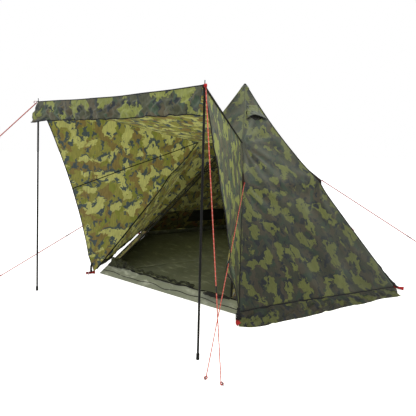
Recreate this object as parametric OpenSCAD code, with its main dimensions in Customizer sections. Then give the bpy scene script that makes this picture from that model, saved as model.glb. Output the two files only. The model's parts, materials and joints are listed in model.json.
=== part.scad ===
// Teepee tent: a six-sided fly on one centre pole, its door panel raised as a canopy on two poles,
// with a mesh inner tent, a bathtub floor, guylines and pegs.
// Origin: on the ground under the centre pole. The door faces -Y, and +X is to the right of the door.

/* [Fly] */
// Height of the peak above the ground
peak_h = 2200; // [2150:10:2250]
// Distance from the centre pole to each hem corner
corner_r = 1885; // [1860:5:1910]
// Share of a ridge, from the ground up, at which the canopy leaves the walls
fold_share = 0.669; // [0.66:0.001:0.68]
// Thickness of the fabric sheets
sheet_t = 3; // [2:0.5:3]
// Height of the hem above the ground
hem_h = 60; // [50:5:80]
// How far the mud skirt lies outside the hem
skirt_reach = 130; // [80:5:150]
// Width of the binding on each side of a ridge
tape_w = 12; // [8:1:14]

/* [Canopy] */
// Height of the canopy's front edge
canopy_h = 1800; // [1780:5:1820]
// Distance of the canopy's front edge from the centre pole
canopy_reach = 2150; // [2140:5:2170]
// Half the width of the canopy's front edge
canopy_half = 915; // [890:5:917]
// Depth of the valance that hangs from the front edge
valance_h = 180; // [120:5:200]

/* [Vent] */
// Half the width of the vent hood's lower edge
vent_half = 140; // [120:5:145]
// Length of the vent hood down the slope
vent_len = 190; // [170:5:200]
// Angle at which the hood stands off the wall
vent_open = 16; // [12:1:20]

/* [Inner tent] */
// Height of the inner tent's peak
inner_h = 1700; // [1650:10:1720]
// Distance from the centre pole to each corner of the inner tent
inner_r = 1750; // [1720:5:1760]
// Height of the bathtub floor's rim
rim_h = 90; // [70:5:110]
// Share of the inner wall's slope that the door opening reaches
door_share = 0.72; // [0.65:0.01:0.76]

/* [Poles] */
// Outside diameter of the centre pole
centre_d = 25; // [22:1:28]
// Outside diameter of the canopy poles
canopy_pole_d = 16; // [14:1:18]
// Wall thickness of the pole tubes
tube_wall = 1.2; // [1:0.1:1.5]
// Length of the spigot that joins two pole sections
spigot_len = 60; // [40:5:80]

/* [Guylines] */
// Diameter of the guyline cord
cord_d = 4; // [3:0.5:4]
// Share of each ridge at which its guyline is tied
guy_share = 0.491; // [0.47:0.001:0.51]
// How far the guyline tab stands out from the ridge
tab_reach = 58; // [50:1:65]
// Length of a peg
peg_len = 190; // [150:10:220]

/* [Hidden] */
$fn = 32;

SIDES = 6;
TURN = 360 / SIDES;

// Fly faces: a triangle on each side of the hexagon, leaning in at face_angle
hem_half = corner_r * sin(TURN / 2);
apothem = corner_r * cos(TURN / 2);
face_angle = atan(peak_h / apothem);
face_len = norm([apothem, peak_h]);
hem_y = hem_h / sin(face_angle);
seam_gap = 4;
top_share = 0.965;
tape_share_low = 0.03;
tape_share_high = 0.94;

// Vent in the right front wall: the hood hinges at vent_top_y, above a round-topped hole
vent_top_y = face_len * 0.872;
vent_top_half = vent_half * 0.62;
vent_hole_y = vent_top_y - vent_len * 0.55 - 25;
vent_hole_base = vent_hole_y - 20;

// Fold between the front wall and the canopy
fold_y = -apothem * (1 - fold_share);
fold_z = peak_h * fold_share;
fold_half = hem_half * (1 - fold_share);
canopy_len = norm([canopy_reach + fold_y, canopy_h - fold_z]);
canopy_rise = atan((canopy_h - fold_z) / (canopy_reach + fold_y));
fold_clear = 30;
roof_inset = 18;
valance_gap = 6;

// Canopy corners, where the pole spikes pass through the eyelets
tip_half = 938;
tip_reach = 2148;
foot_half = 985;
foot_reach = 2246;
spike_d = 6;
spike_len = 45;

// Inner tent faces
inner_half = inner_r * sin(TURN / 2);
inner_apothem = inner_r * cos(TURN / 2);
inner_angle = atan(inner_h / inner_apothem);
inner_len = norm([inner_apothem, inner_h]);
inner_top_share = 0.95;
rim_y = rim_h / sin(inner_angle);
mesh_y = rim_y + 5;
ring_z = inner_h * 0.96;
door_y0 = rim_y + 14;
door_y1 = inner_len * door_share;
door_inset = 70;
door_corner_r = 30;
door_corner_drop = 90;
zip_w = 12;
zip_half0 = inner_half * (1 - door_y0 / inner_len) - door_inset;

// Heights along the centre pole
floor_t = 3;
foot_base = 8;
foot_gap = 0.4;
foot_seat = 0.2;
pole_z0 = floor_t + foot_gap + foot_base + foot_seat;
pole_z1 = peak_h - 65;
section_len = (pole_z1 - pole_z0) / 3;

// Fit of the pole sections
tube_floor = 6;
spigot_clear = 0.5;
section_gap = 0.3;
foot_cap_h = 40;

// Guyline ground points: azimuth in degrees from +X and distance from the centre pole
FRONT_LEFT = 0;
FRONT_RIGHT = 1;
RIGHT = 2;
BACK_RIGHT = 3;
BACK_LEFT = 4;
LEFT = 5;
guy_azimuth = [-126, -64.2, 4, 72, 108, 180];
guy_reach = [2800, 2643, 2850, 2700, 2700, 2700];
canopy_stake_left = [-2660, -3350, 0];
canopy_stake_right = [1255, -2372, 0];
cord_z = 14;
// The two front tabs lean away from the canopy by this angle
front_tab_turn = 25;
guy_top_out = 20;
guy_top_drop = 10;
cord_start = 8;
ridge_tensioner_up = [780, 900, 1040, 900, 900, 900];
canopy_tensioner_up = 540;

// Hem pegs stand this far outside the hem corners
peg_out = 34;

function unit(v) = v / norm(v);
function polar(r, az) = [r * cos(az), r * sin(az), 0];
function corner(i) = polar(corner_r, -90 + TURN * (i - 0.5));
function on_ridge(i, share) = corner(i) * (1 - share) + [0, 0, peak_h * share];
function ridge_out(i) = unit(corner(i));
function tab_azimuth(i) = -90 + TURN * (i - 0.5)
    + (i == FRONT_LEFT ? -front_tab_turn : i == FRONT_RIGHT ? front_tab_turn : 0);
function tab_tip(i) = on_ridge(i, guy_share) + polar(tab_reach, tab_azimuth(i));
function guy_stake(i) = polar(guy_reach[i], guy_azimuth[i]) + [0, 0, cord_z];
function canopy_tip(side) = [side * tip_half, -tip_reach, canopy_h];
function canopy_foot(side) = [side * foot_half, -foot_reach, 0];
function canopy_stake(side) = (side < 0 ? canopy_stake_left : canopy_stake_right) + [0, 0, cord_z];
// Where a canopy guyline starts: beside the spike, on the side of its peg
function guy_top(side) = let(flat = canopy_stake(side) - canopy_tip(side))
    canopy_tip(side) + unit([flat.x, flat.y, 0]) * guy_top_out - [0, 0, guy_top_drop];
function toward(a, b, d) = a + unit(b - a) * d;

// Sets the local Z axis from point a towards point b
module along(a, b) {
    v = b - a;
    translate(a) rotate([0, acos(v.z / norm(v)), atan2(v.y, v.x)]) children();
}

// A flat sheet through coplanar corner points, thickened along their normal
module sheet(pts, t, lift = 0) {
    o = pts[0];
    ex = unit(pts[1] - o);
    ez = unit(cross(pts[1] - o, pts[2] - o));
    ey = cross(ez, ex);
    multmatrix([
        [ex.x, ey.x, ez.x, o.x],
        [ex.y, ey.y, ez.y, o.y],
        [ex.z, ey.z, ez.z, o.z]
    ])
        translate([0, 0, lift])
            linear_extrude(t) polygon([for (p = pts) [(p - o) * ex, (p - o) * ey]]);
}

// Local frame of a fly face: X along the hem, Y up the slope, Z outward
module face(i) {
    rotate([0, 0, TURN * i]) translate([0, -apothem, 0]) rotate([face_angle, 0, 0]) children();
}

module inner_face(i) {
    rotate([0, 0, TURN * i]) translate([0, -inner_apothem, 0])
        rotate([inner_angle, 0, 0]) children();
}

// Part of a tapering face between two distances up its slope
module taper(half, len, y0, y1, gap) {
    w0 = half * (1 - y0 / len) - gap;
    w1 = half * (1 - y1 / len) - gap;
    polygon([[-w0, y0], [w0, y0], [w1, y1], [-w1, y1]]);
}

module fly_wall(i) {
    face(i) translate([0, 0, -sheet_t])
        linear_extrude(sheet_t) taper(hem_half, face_len, hem_y, face_len * top_share, seam_gap);
}

module inner_wall(i) {
    inner_face(i) translate([0, 0, -sheet_t])
        linear_extrude(sheet_t) taper(inner_half, inner_len, mesh_y, inner_len * inner_top_share, seam_gap);
}

// ---- Fly ----

module fly_peak_front() {
    color("darkolivegreen") face(0) translate([0, 0, -sheet_t]) linear_extrude(sheet_t)
        taper(hem_half, face_len, face_len * fold_share + seam_gap, face_len * top_share, seam_gap);
}

module vent_hole(shrink) {
    intersection() {
        translate([0, vent_hole_y]) circle(r = vent_top_half - shrink, $fn = 48);
        translate([-vent_half, vent_hole_base + shrink]) square([2 * vent_half, vent_half]);
    }
}

module fly_wall_right_front() {
    color("darkolivegreen") difference() {
        fly_wall(1);
        face(1) translate([0, 0, -2 * sheet_t]) linear_extrude(4 * sheet_t) vent_hole(0);
    }
}

module fly_wall_right_back() {
    color("darkolivegreen") fly_wall(2);
}

module fly_wall_back() {
    color("darkolivegreen") fly_wall(3);
}

module fly_wall_left_back() {
    color("darkolivegreen") fly_wall(4);
}

module fly_wall_left_front() {
    color("darkolivegreen") fly_wall(5);
}

module fly_cap() {
    cap_share = 0.95;
    cap_lift = 8;
    cap_r = corner_r * (1 - cap_share);
    cap_h = peak_h * (1 - cap_share);
    color("darkslategray") translate([0, 0, peak_h * cap_share + cap_lift]) difference() {
        cylinder(h = cap_h + sheet_t, r1 = cap_r * (1 + sheet_t / cap_h), r2 = 0, $fn = SIDES);
        translate([0, 0, -0.01]) cylinder(h = cap_h, r1 = cap_r, r2 = 0, $fn = SIDES);
    }
}

// Two folded flaps that cover the gap between neighbouring faces
module ridge_tape(i) {
    n1 = polar(1, -90 + TURN * (i - 1)) * sin(face_angle) + [0, 0, cos(face_angle)];
    n2 = polar(1, -90 + TURN * i) * sin(face_angle) + [0, 0, cos(face_angle)];
    half_turn = acos(n1 * n2) / 2;
    ex = unit(n1 + n2);
    a = on_ridge(i, tape_share_low);
    b = on_ridge(i, tape_share_high);
    ez = unit(b - a);
    ey = cross(ez, ex);
    lift = 0.6;
    t = 1.4;
    dx = tape_w * sin(half_turn);
    dy = tape_w * cos(half_turn);
    multmatrix([
        [ex.x, ey.x, ez.x, a.x],
        [ex.y, ey.y, ez.y, a.y],
        [ex.z, ey.z, ez.z, a.z]
    ])
        linear_extrude(norm(b - a)) polygon([
            [lift, 0], [lift - dx, dy], [lift + t - dx, dy],
            [lift + t, 0], [lift + t - dx, -dy], [lift - dx, -dy]
        ]);
}

module ridge_tapes() {
    color("black") for (i = [0 : SIDES - 1]) ridge_tape(i);
}

module mud_skirt(i) {
    hem_gap = 6;
    in_a = apothem * (1 - hem_h / peak_h) + hem_gap;
    out_a = apothem + skirt_reach;
    z0 = hem_h - hem_gap;
    z1 = 2;
    w0 = in_a * tan(TURN / 2) - seam_gap;
    w1 = out_a * tan(TURN / 2) - seam_gap;
    rotate([0, 0, TURN * i])
        sheet([[-w1, -out_a, z1], [w1, -out_a, z1], [w0, -in_a, z0], [-w0, -in_a, z0]], sheet_t - 1);
}

module mud_skirts() {
    color("darkolivegreen") for (i = [1 : SIDES - 1]) mud_skirt(i);
}

// ---- Canopy ----

// Local frame of the raised canopy: Y runs out from the fold, Z is up out of the roof
module canopy_frame() {
    translate([0, fold_y, fold_z]) rotate([0, 0, 180]) rotate([canopy_rise, 0, 0]) children();
}

module canopy_roof() {
    inner_w = fold_half - roof_inset;
    start_w = inner_w + (canopy_half - inner_w) * fold_clear / canopy_len;
    color("olivedrab") canopy_frame() translate([0, 0, -sheet_t]) linear_extrude(sheet_t) polygon([
        [-start_w, fold_clear], [start_w, fold_clear],
        [canopy_half, canopy_len], [-canopy_half, canopy_len]
    ]);
}

module canopy_valance() {
    half = canopy_half - 10;
    end_w = 60;
    end_drop = 12;
    color("olivedrab") translate([0, -canopy_reach - sheet_t, canopy_h - valance_gap])
        rotate([90, 0, 0]) linear_extrude(sheet_t) polygon([
            [-half, 0], [half, 0], [half, -valance_h], [half - end_w, -valance_h + end_drop],
            [-half + end_w, -valance_h + end_drop], [-half, -valance_h]
        ]);
}

// Triangular side panel between a front ridge and the canopy's side edge
module canopy_wing(side) {
    wing_out = 27;
    fold = [side * fold_half, fold_y, fold_z];
    tip = [side * (canopy_half + wing_out), -canopy_reach, canopy_h];
    foot = [side * hem_half, -apothem, 0];
    // Gaps along the roof's edge, and drops below it, at the fold and at the tip
    fold_gap = 60;
    fold_drop = 22;
    tip_gap = 40;
    tip_drop = 8;
    foot_gap = 91;
    a = toward(fold, tip, fold_gap) + unit(foot - fold) * fold_drop;
    b = toward(tip, fold, tip_gap) + unit(foot - tip) * tip_drop;
    c = toward(foot, tip, foot_gap);
    color("olivedrab") sheet(side < 0 ? [a, c, b] : [a, b, c], sheet_t);
}

module canopy_wing_left() {
    canopy_wing(-1);
}

// The right wing has a slot where the front right guyline passes it
module canopy_wing_right() {
    slot_r = 8;
    a = tab_tip(FRONT_RIGHT);
    b = guy_stake(FRONT_RIGHT);
    difference() {
        canopy_wing(1);
        along(a, b) cylinder(h = norm(b - a), r = slot_r);
    }
}

// Webbing tab with an eyelet that is open to the front, so that the pole spike can leave it
module canopy_corner_tab(side) {
    ring_r = 11;
    hole_r = 6;
    strap_w = 16;
    strap_root = [ring_r * 0.7, -4];
    strap_end = [60, -70];
    lift = 0.5;
    t = 2;
    tip = [-side * tip_half, canopy_len];
    canopy_frame() translate([0, 0, lift]) linear_extrude(t) difference() {
        union() {
            translate(tip) circle(r = ring_r);
            hull() {
                translate(tip + [side * strap_root.x, strap_root.y])
                    circle(d = strap_w / 2, $fn = 24);
                translate(tip + [side * strap_end.x, strap_end.y]) circle(d = strap_w, $fn = 24);
            }
        }
        translate(tip) circle(r = hole_r);
        translate(tip - [hole_r - 1, 0]) square([2 * hole_r - 2, 2 * ring_r]);
    }
}

module canopy_corner_tabs() {
    color("firebrick") {
        canopy_corner_tab(-1);
        canopy_corner_tab(1);
    }
}

// ---- Vent ----

module vent_frame() {
    hinge_lift = 5;
    face(1) translate([0, vent_top_y, hinge_lift]) rotate([-vent_open, 0, 0]) children();
}

module vent_hood() {
    lip_r = 175;
    lip_rise = 25;
    color("darkolivegreen") vent_frame() linear_extrude(sheet_t) difference() {
        polygon([
            [-vent_top_half, 0], [vent_top_half, 0],
            [vent_half, -vent_len], [-vent_half, -vent_len]
        ]);
        translate([0, lip_rise - vent_len - lip_r]) circle(r = lip_r, $fn = 64);
    }
}

module vent_stiffener() {
    rod_d = 4;
    rod_half = vent_half * 0.85;
    rod_y = 32 - vent_len;
    rod_z = -3;
    color("black") vent_frame() translate([-rod_half, rod_y, rod_z])
        rotate([0, 90, 0]) cylinder(h = 2 * rod_half, d = rod_d);
}

module vent_mesh() {
    color("black") face(1) translate([0, 0, -2]) linear_extrude(1) vent_hole(1);
}

// ---- Webbing ----

module corner_loop(i) {
    az = -90 + TURN * (i - 0.5);
    loop_z = 22;
    loop_r = 16;
    loop_d = 4;
    lean = 20;
    translate(polar(corner_r + peg_out, az) + [0, 0, loop_z]) rotate([0, 0, az])
        rotate([0, lean, 0]) rotate_extrude($fn = 40)
            translate([loop_r, 0]) circle(d = loop_d, $fn = 16);
}

module corner_loops() {
    color("firebrick") for (i = [0 : SIDES - 1]) corner_loop(i);
}

module guy_tab(i) {
    tab_t = 2;
    share_below = 0.028;
    share_above = 0.055;
    stand = ridge_out(i) * 8;
    low = on_ridge(i, guy_share - share_below) + stand;
    high = on_ridge(i, guy_share + share_above) + stand;
    sheet([low, tab_tip(i), high], tab_t, -tab_t / 2);
}

module guy_tabs() {
    color("black") for (i = [0 : SIDES - 1]) guy_tab(i);
}

// ---- Inner tent ----

module groundsheet() {
    edge_gap = 6;
    color("gray") cylinder(h = floor_t, r = inner_r - edge_gap, $fn = SIDES);
}

module tub_rim() {
    low_y = 8;
    color("darkseagreen") for (i = [0 : SIDES - 1]) inner_face(i) translate([0, 0, -sheet_t])
        linear_extrude(sheet_t) taper(inner_half, inner_len, low_y, rim_y, seam_gap);
}

// Outline of the door: a tapering opening with rounded upper corners
module door_outline(grow) {
    corner_x = inner_half * (1 - door_y1 / inner_len) - door_inset - 20;
    hull() {
        translate([-zip_half0 - grow, door_y0 - grow]) square([2 * (zip_half0 + grow), 1]);
        for (s = [-1, 1]) translate([s * corner_x, door_y1 - door_corner_drop])
            circle(r = door_corner_r + grow, $fn = 32);
    }
}

module inner_front_frame() {
    color("black", 0.6) inner_face(0) translate([0, 0, -sheet_t]) linear_extrude(sheet_t)
        difference() {
            taper(inner_half, inner_len, mesh_y, inner_len * inner_top_share, seam_gap);
            door_outline(0);
        }
}

module inner_wall_right_front() {
    color("black", 0.6) inner_wall(1);
}

module inner_wall_right_back() {
    color("black", 0.6) inner_wall(2);
}

module inner_wall_back() {
    color("black", 0.6) inner_wall(3);
}

module inner_wall_left_back() {
    color("black", 0.6) inner_wall(4);
}

module inner_wall_left_front() {
    color("black", 0.6) inner_wall(5);
}

module inner_peak_ring() {
    ring_h = 5;
    ring_r = 56;
    pole_clear = 4;
    color("black") translate([0, 0, ring_z]) difference() {
        cylinder(h = ring_h, r = ring_r);
        translate([0, 0, -1]) cylinder(h = ring_h + 2, r = centre_d / 2 + pole_clear);
    }
}

// The open door panel, rolled up and laid behind the threshold
module inner_door_roll() {
    roll_d = 46;
    x0 = 300;
    x1 = 760;
    roll_y = 140 - inner_apothem;
    color("black") translate([x0, roll_y, floor_t + roll_d / 2 + 1]) rotate([0, 90, 0])
        cylinder(h = x1 - x0, d = roll_d);
}

module inner_door_zip() {
    color("black") inner_face(0) translate([0, 0, 1]) linear_extrude(2) difference() {
        door_outline(zip_w);
        door_outline(0);
    }
}

// Zip slider beside the right-hand edge of the door, just above the threshold
module inner_zip_slider() {
    slider_at = [zip_half0 + 4, door_y0 + 40, 3.6];
    slider_t = 4;
    head = [9, 18];
    pull = [5, 20];
    color("black") inner_face(0) translate(slider_at) linear_extrude(slider_t) union() {
        square(head, center = true);
        translate([0, -16]) square(pull, center = true);
    }
}

module lantern_hook() {
    hook_r = 12;
    wire_d = 4;
    shank = 30;
    hook_y = -34;
    color("black") translate([0, hook_y, ring_z - shank - 2]) {
        cylinder(h = shank, d = wire_d);
        translate([0, -hook_r, 0]) rotate([0, 90, 0]) rotate([0, 0, -90])
            rotate_extrude(angle = 180) translate([hook_r, 0]) circle(d = wire_d);
    }
}

// ---- Poles ----

// A tube, open at the top, with an optional spigot that enters the section below
module tube(len, d, spigot) {
    bore_d = d - 2 * tube_wall;
    spigot_d = bore_d - spigot_clear;
    difference() {
        union() {
            cylinder(h = len, d = d);
            if (spigot) translate([0, 0, -spigot_len]) cylinder(h = spigot_len + 1, d = spigot_d);
        }
        translate([0, 0, tube_floor]) cylinder(h = len, d = bore_d);
        if (spigot) translate([0, 0, -spigot_len - 1])
            cylinder(h = spigot_len, d = spigot_d - 2 * tube_wall);
    }
}

module centre_section(k) {
    z = pole_z0 + k * section_len + (k > 0 ? section_gap : 0);
    color("dimgray") translate([0, 0, z]) tube(section_len - 2 * section_gap, centre_d, k > 0);
}

module centre_pole_lower() {
    centre_section(0);
}

module centre_pole_middle() {
    centre_section(1);
}

module centre_pole_upper() {
    centre_section(2);
}

module centre_pole_foot() {
    disc_r = 32;
    cup_wall = 4;
    color("black") translate([0, 0, floor_t + foot_gap]) difference() {
        union() {
            cylinder(h = foot_base, r = disc_r);
            cylinder(h = foot_cap_h, r = centre_d / 2 + cup_wall);
        }
        translate([0, 0, foot_base]) cylinder(h = foot_cap_h, r = centre_d / 2 + foot_seat);
    }
}

module centre_pole_cap() {
    stem_d = centre_d - 2 * tube_wall - spigot_clear;
    stem_len = 40;
    cap_h = 14;
    cap_top_d = 18;
    cap_lip = 5;
    color("black") translate([0, 0, pole_z1 + 0.5]) {
        cylinder(h = cap_h, d1 = centre_d + 2 * cap_lip, d2 = cap_top_d);
        translate([0, 0, -stem_len]) cylinder(h = stem_len + 1, d = stem_d);
    }
}

module canopy_section(side, k) {
    a = canopy_foot(side);
    b = canopy_tip(side);
    base = 6;
    top_gap = 12;
    plug = 8;
    len = (norm(b - a) - base - top_gap) / 3;
    z = base + k * len + (k > 0 ? section_gap : 0);
    color("black") along(a, b) translate([0, 0, z]) {
        tube(len - 2 * section_gap, canopy_pole_d, k > 0);
        if (k == 2) {
            translate([0, 0, len - plug]) cylinder(h = plug, d = canopy_pole_d - 1);
            translate([0, 0, len - 1]) cylinder(h = spike_len, d = spike_d);
        }
    }
}

module canopy_foot_cap(side) {
    cup_wall = 3.5;
    cup_floor = 4.8;
    color("black") along(canopy_foot(side), canopy_tip(side)) translate([0, 0, 1]) difference() {
        cylinder(h = foot_cap_h, d = canopy_pole_d + 2 * cup_wall);
        translate([0, 0, cup_floor]) cylinder(h = foot_cap_h, d = canopy_pole_d + 2 * foot_seat);
    }
}

module pole_left_lower() {
    canopy_section(-1, 0);
}

module pole_left_middle() {
    canopy_section(-1, 1);
}

module pole_left_upper() {
    canopy_section(-1, 2);
}

module pole_left_foot() {
    canopy_foot_cap(-1);
}

module pole_right_lower() {
    canopy_section(1, 0);
}

module pole_right_middle() {
    canopy_section(1, 1);
}

module pole_right_upper() {
    canopy_section(1, 2);
}

module pole_right_foot() {
    canopy_foot_cap(1);
}

// ---- Guylines ----

module cord(a, b) {
    along(a, b) cylinder(h = norm(b - a), d = cord_d, $fn = 20);
}

module ridge_guylines() {
    color("tomato") for (i = [0 : SIDES - 1])
        cord(toward(tab_tip(i), guy_stake(i), cord_start), guy_stake(i));
}

module canopy_guy(side) {
    color("tomato") cord(guy_top(side), canopy_stake(side));
}

module canopy_guy_left() {
    canopy_guy(-1);
}

module canopy_guy_right() {
    canopy_guy(1);
}

// Cord tensioner: a flat round-edged bar that grips the cord, bored along its length, with
// finger notches down both edges
module tensioner(a, b, up) {
    len = 42;
    half_w = 2.2;
    thick = 8;
    cord_clear = 0.4;
    notch_d = 5;
    notch_step = 9;
    color("black") along(b, a) translate([0, 0, up]) difference() {
        union() {
            translate([-half_w, -thick / 2, 0]) cube([2 * half_w, thick, len]);
            for (s = [-1, 1]) translate([s * half_w, 0, 0]) cylinder(h = len, d = thick);
        }
        translate([0, 0, -1]) cylinder(h = len + 2, d = cord_d + 2 * cord_clear, $fn = 20);
        for (s = [-1, 1], k = [-1 : 1])
            translate([s * (half_w + thick / 2 + 1), -thick, len / 2 + k * notch_step])
                rotate([-90, 0, 0]) cylinder(h = 2 * thick, d = notch_d, $fn = 20);
    }
}

module ridge_tensioner(i) {
    tensioner(tab_tip(i), guy_stake(i), ridge_tensioner_up[i]);
}

module tensioner_front_left() {
    ridge_tensioner(FRONT_LEFT);
}

module tensioner_front_right() {
    ridge_tensioner(FRONT_RIGHT);
}

module tensioner_right() {
    ridge_tensioner(RIGHT);
}

module tensioner_back_right() {
    ridge_tensioner(BACK_RIGHT);
}

module tensioner_back_left() {
    ridge_tensioner(BACK_LEFT);
}

module tensioner_left() {
    ridge_tensioner(LEFT);
}

module tensioner_canopy_left() {
    tensioner(guy_top(-1), canopy_stake(-1), canopy_tensioner_up);
}

module tensioner_canopy_right() {
    tensioner(guy_top(1), canopy_stake(1), canopy_tensioner_up);
}

// ---- Pegs ----

// A hooked wire peg, driven in so that its head leans away along az
module peg(at, az) {
    wire_d = 6;
    head = 24;
    stand = 26;
    lean = 18;
    translate(at) rotate([0, 0, az]) rotate([0, lean, 0]) {
        translate([0, 0, stand - peg_len]) cylinder(h = peg_len, d = wire_d);
        translate([-wire_d / 2, 0, stand]) rotate([0, 90, 0]) cylinder(h = head, d = wire_d);
    }
}

module hem_pegs() {
    color("dimgray") for (i = [0 : SIDES - 1]) {
        az = -90 + TURN * (i - 0.5);
        peg(polar(corner_r + peg_out, az), az);
    }
}

module guy_pegs() {
    clear = 12;
    color("dimgray") {
        for (i = [0 : SIDES - 1]) {
            out = unit(polar(guy_reach[i], guy_azimuth[i]) - [tab_tip(i).x, tab_tip(i).y, 0]);
            peg(polar(guy_reach[i], guy_azimuth[i]) + out * clear, atan2(out.y, out.x));
        }
        for (side = [-1, 1]) {
            stake = canopy_stake(side) - [0, 0, cord_z];
            out = unit(stake - [canopy_tip(side).x, canopy_tip(side).y, 0]);
            peg(stake + out * clear, atan2(out.y, out.x));
        }
    }
}

fly_peak_front();
fly_wall_right_front();
fly_wall_right_back();
fly_wall_back();
fly_wall_left_back();
fly_wall_left_front();
fly_cap();
ridge_tapes();
mud_skirts();
canopy_roof();
canopy_valance();
canopy_wing_left();
canopy_wing_right();
canopy_corner_tabs();
vent_hood();
vent_stiffener();
vent_mesh();
corner_loops();
guy_tabs();
groundsheet();
tub_rim();
inner_front_frame();
inner_wall_right_front();
inner_wall_right_back();
inner_wall_back();
inner_wall_left_back();
inner_wall_left_front();
inner_peak_ring();
inner_door_roll();
inner_door_zip();
inner_zip_slider();
lantern_hook();
centre_pole_lower();
centre_pole_middle();
centre_pole_upper();
centre_pole_foot();
centre_pole_cap();
pole_left_lower();
pole_left_middle();
pole_left_upper();
pole_left_foot();
pole_right_lower();
pole_right_middle();
pole_right_upper();
pole_right_foot();
ridge_guylines();
canopy_guy_left();
canopy_guy_right();
tensioner_front_left();
tensioner_front_right();
tensioner_right();
tensioner_back_right();
tensioner_back_left();
tensioner_left();
tensioner_canopy_left();
tensioner_canopy_right();
hem_pegs();
guy_pegs();
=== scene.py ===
import json
import math

import bpy
import numpy as np
from mathutils import Matrix, Vector


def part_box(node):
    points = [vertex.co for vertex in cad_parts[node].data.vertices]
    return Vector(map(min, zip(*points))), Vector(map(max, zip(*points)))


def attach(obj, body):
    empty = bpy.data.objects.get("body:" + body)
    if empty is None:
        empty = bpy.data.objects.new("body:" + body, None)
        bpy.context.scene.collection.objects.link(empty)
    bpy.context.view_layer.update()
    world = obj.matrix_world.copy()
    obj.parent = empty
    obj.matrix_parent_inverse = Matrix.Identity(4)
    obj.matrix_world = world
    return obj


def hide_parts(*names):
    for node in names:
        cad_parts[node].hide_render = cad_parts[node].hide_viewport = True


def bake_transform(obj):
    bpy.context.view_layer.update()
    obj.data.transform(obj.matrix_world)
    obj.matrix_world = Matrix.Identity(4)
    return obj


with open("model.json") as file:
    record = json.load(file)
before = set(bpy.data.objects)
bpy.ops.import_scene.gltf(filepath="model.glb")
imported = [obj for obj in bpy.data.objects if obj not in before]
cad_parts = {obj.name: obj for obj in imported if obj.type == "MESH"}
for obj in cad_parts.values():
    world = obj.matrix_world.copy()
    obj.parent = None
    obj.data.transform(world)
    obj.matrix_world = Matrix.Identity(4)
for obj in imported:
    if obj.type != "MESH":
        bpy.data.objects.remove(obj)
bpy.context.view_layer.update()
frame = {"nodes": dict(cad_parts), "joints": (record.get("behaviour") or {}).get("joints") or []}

# ---- Driving dimensions, from the frame (metres) ----

SIDES = 6
TURN = math.tau / SIDES
JOINT = {j["name"]: j for j in frame["joints"]}


def joint_point(name):
    return np.array(JOINT[name]["pos_m"], float)


def low(node):
    return np.array(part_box(node)[0])


def high(node):
    return np.array(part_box(node)[1])


FOLD = joint_point("canopy_lower")
HEM_Z = low("fly_wall_back")[2]
SLOPE = (FOLD[2] - HEM_Z) / (high("fly_wall_back")[1] + FOLD[1])
PEAK_Z = FOLD[2] - FOLD[1] * SLOPE
APOTHEM = PEAK_Z / SLOPE
CORNER_R = APOTHEM / math.cos(TURN / 2)
FACE_ANGLE = math.atan(SLOPE)
FACE_LEN = math.hypot(APOTHEM, PEAK_Z)
HEM_SHARE = HEM_Z / PEAK_Z
FOLD_SHARE = FOLD[2] / PEAK_Z
TAB_SHARE = high("ridge_guylines")[2] / PEAK_Z

FRONT = joint_point("valance_hang")
TIP_X = 0.5 * (high("canopy_corner_tabs")[0] - 0.011 + high("canopy_roof")[0])
VALANCE_H = high("canopy_valance")[2] - low("canopy_valance")[2]
SKIRT_OUT = high("mud_skirts")[1] - APOTHEM

INNER_R = high("groundsheet")[0] + 0.006
INNER_Z = low("inner_peak_ring")[2] / 0.96
RIM_Z = high("tub_rim")[2]
FLOOR_TOP = high("groundsheet")[2]

PEAK = np.array([0, 0, PEAK_Z])
UP = np.array([0.0, 0.0, 1.0])
FABRIC = 0.0016
# Ridges and faces are numbered from the front of the tent, going round to the right
FRONT_LEFT, FRONT_RIGHT = 0, 1
RIGHT_FRONT, RIGHT_BACK, LEFT_BACK, LEFT_FRONT = 1, 2, 4, 5
SIDE_NAMES = ((-1, "left"), (1, "right"))
FACE_NAMES = ["front", "right_front", "right_back", "back", "left_back", "left_front"]
RIDGE_NAMES = ["front_left", "front_right", "right", "back_right", "back_left", "left"]


# ---- Small vector helpers ----

def direction(azimuth):
    return np.array([math.cos(azimuth), math.sin(azimuth), 0.0])


def corner_azimuth(i):
    return -math.pi / 2 + TURN * (i - 0.5)


def face_azimuth(i):
    return -math.pi / 2 + TURN * i


def unit(v):
    v = np.asarray(v, float)
    return v / np.maximum(np.linalg.norm(v, axis=-1, keepdims=True), 1e-12)


def mix(a, b, t):
    return a * (1 - t) + b * t


def smooth(x):
    x = np.clip(x, 0, 1)
    return x * x * (3 - 2 * x)


def face_normal(i):
    return direction(face_azimuth(i)) * math.sin(FACE_ANGLE) + UP * math.cos(FACE_ANGLE)


def crumple(x, y, size, seed, waves=10):
    """Smooth random folds of about unit height, size metres across"""
    rng = np.random.default_rng(seed)
    total = 0
    for _ in range(waves):
        angle, phase = rng.uniform(0, math.tau, 2)
        pace = math.tau / size * rng.uniform(0.6, 1.5)
        total = total + np.sin(pace * (x * math.cos(angle) + y * math.sin(angle)) + phase)
    return total / math.sqrt(waves)


def rays(x, y, cx, cy, folds, reach, seed):
    """Tension folds that fan out of a pulled point and die away over reach"""
    rng = np.random.default_rng(seed)
    dx, dy = x - cx, y - cy
    r = np.hypot(dx, dy)
    angle = np.arctan2(dy, dx)
    wave = sum(np.sin(folds * rng.uniform(0.7, 1.3) * angle + rng.uniform(0, math.tau)) for _ in range(3))
    return wave / 1.7 * (r / (r + 0.04)) * np.exp(-((r / reach) ** 2))


def circle(points):
    """Angles spaced evenly once round"""
    return np.linspace(0, math.tau, points, endpoint=False)


def columns(count):
    return np.linspace(-1, 1, count)[None]


def rows_down(count):
    return np.linspace(1, 0, count)[:, None]


# ---- Mesh building ----

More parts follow.
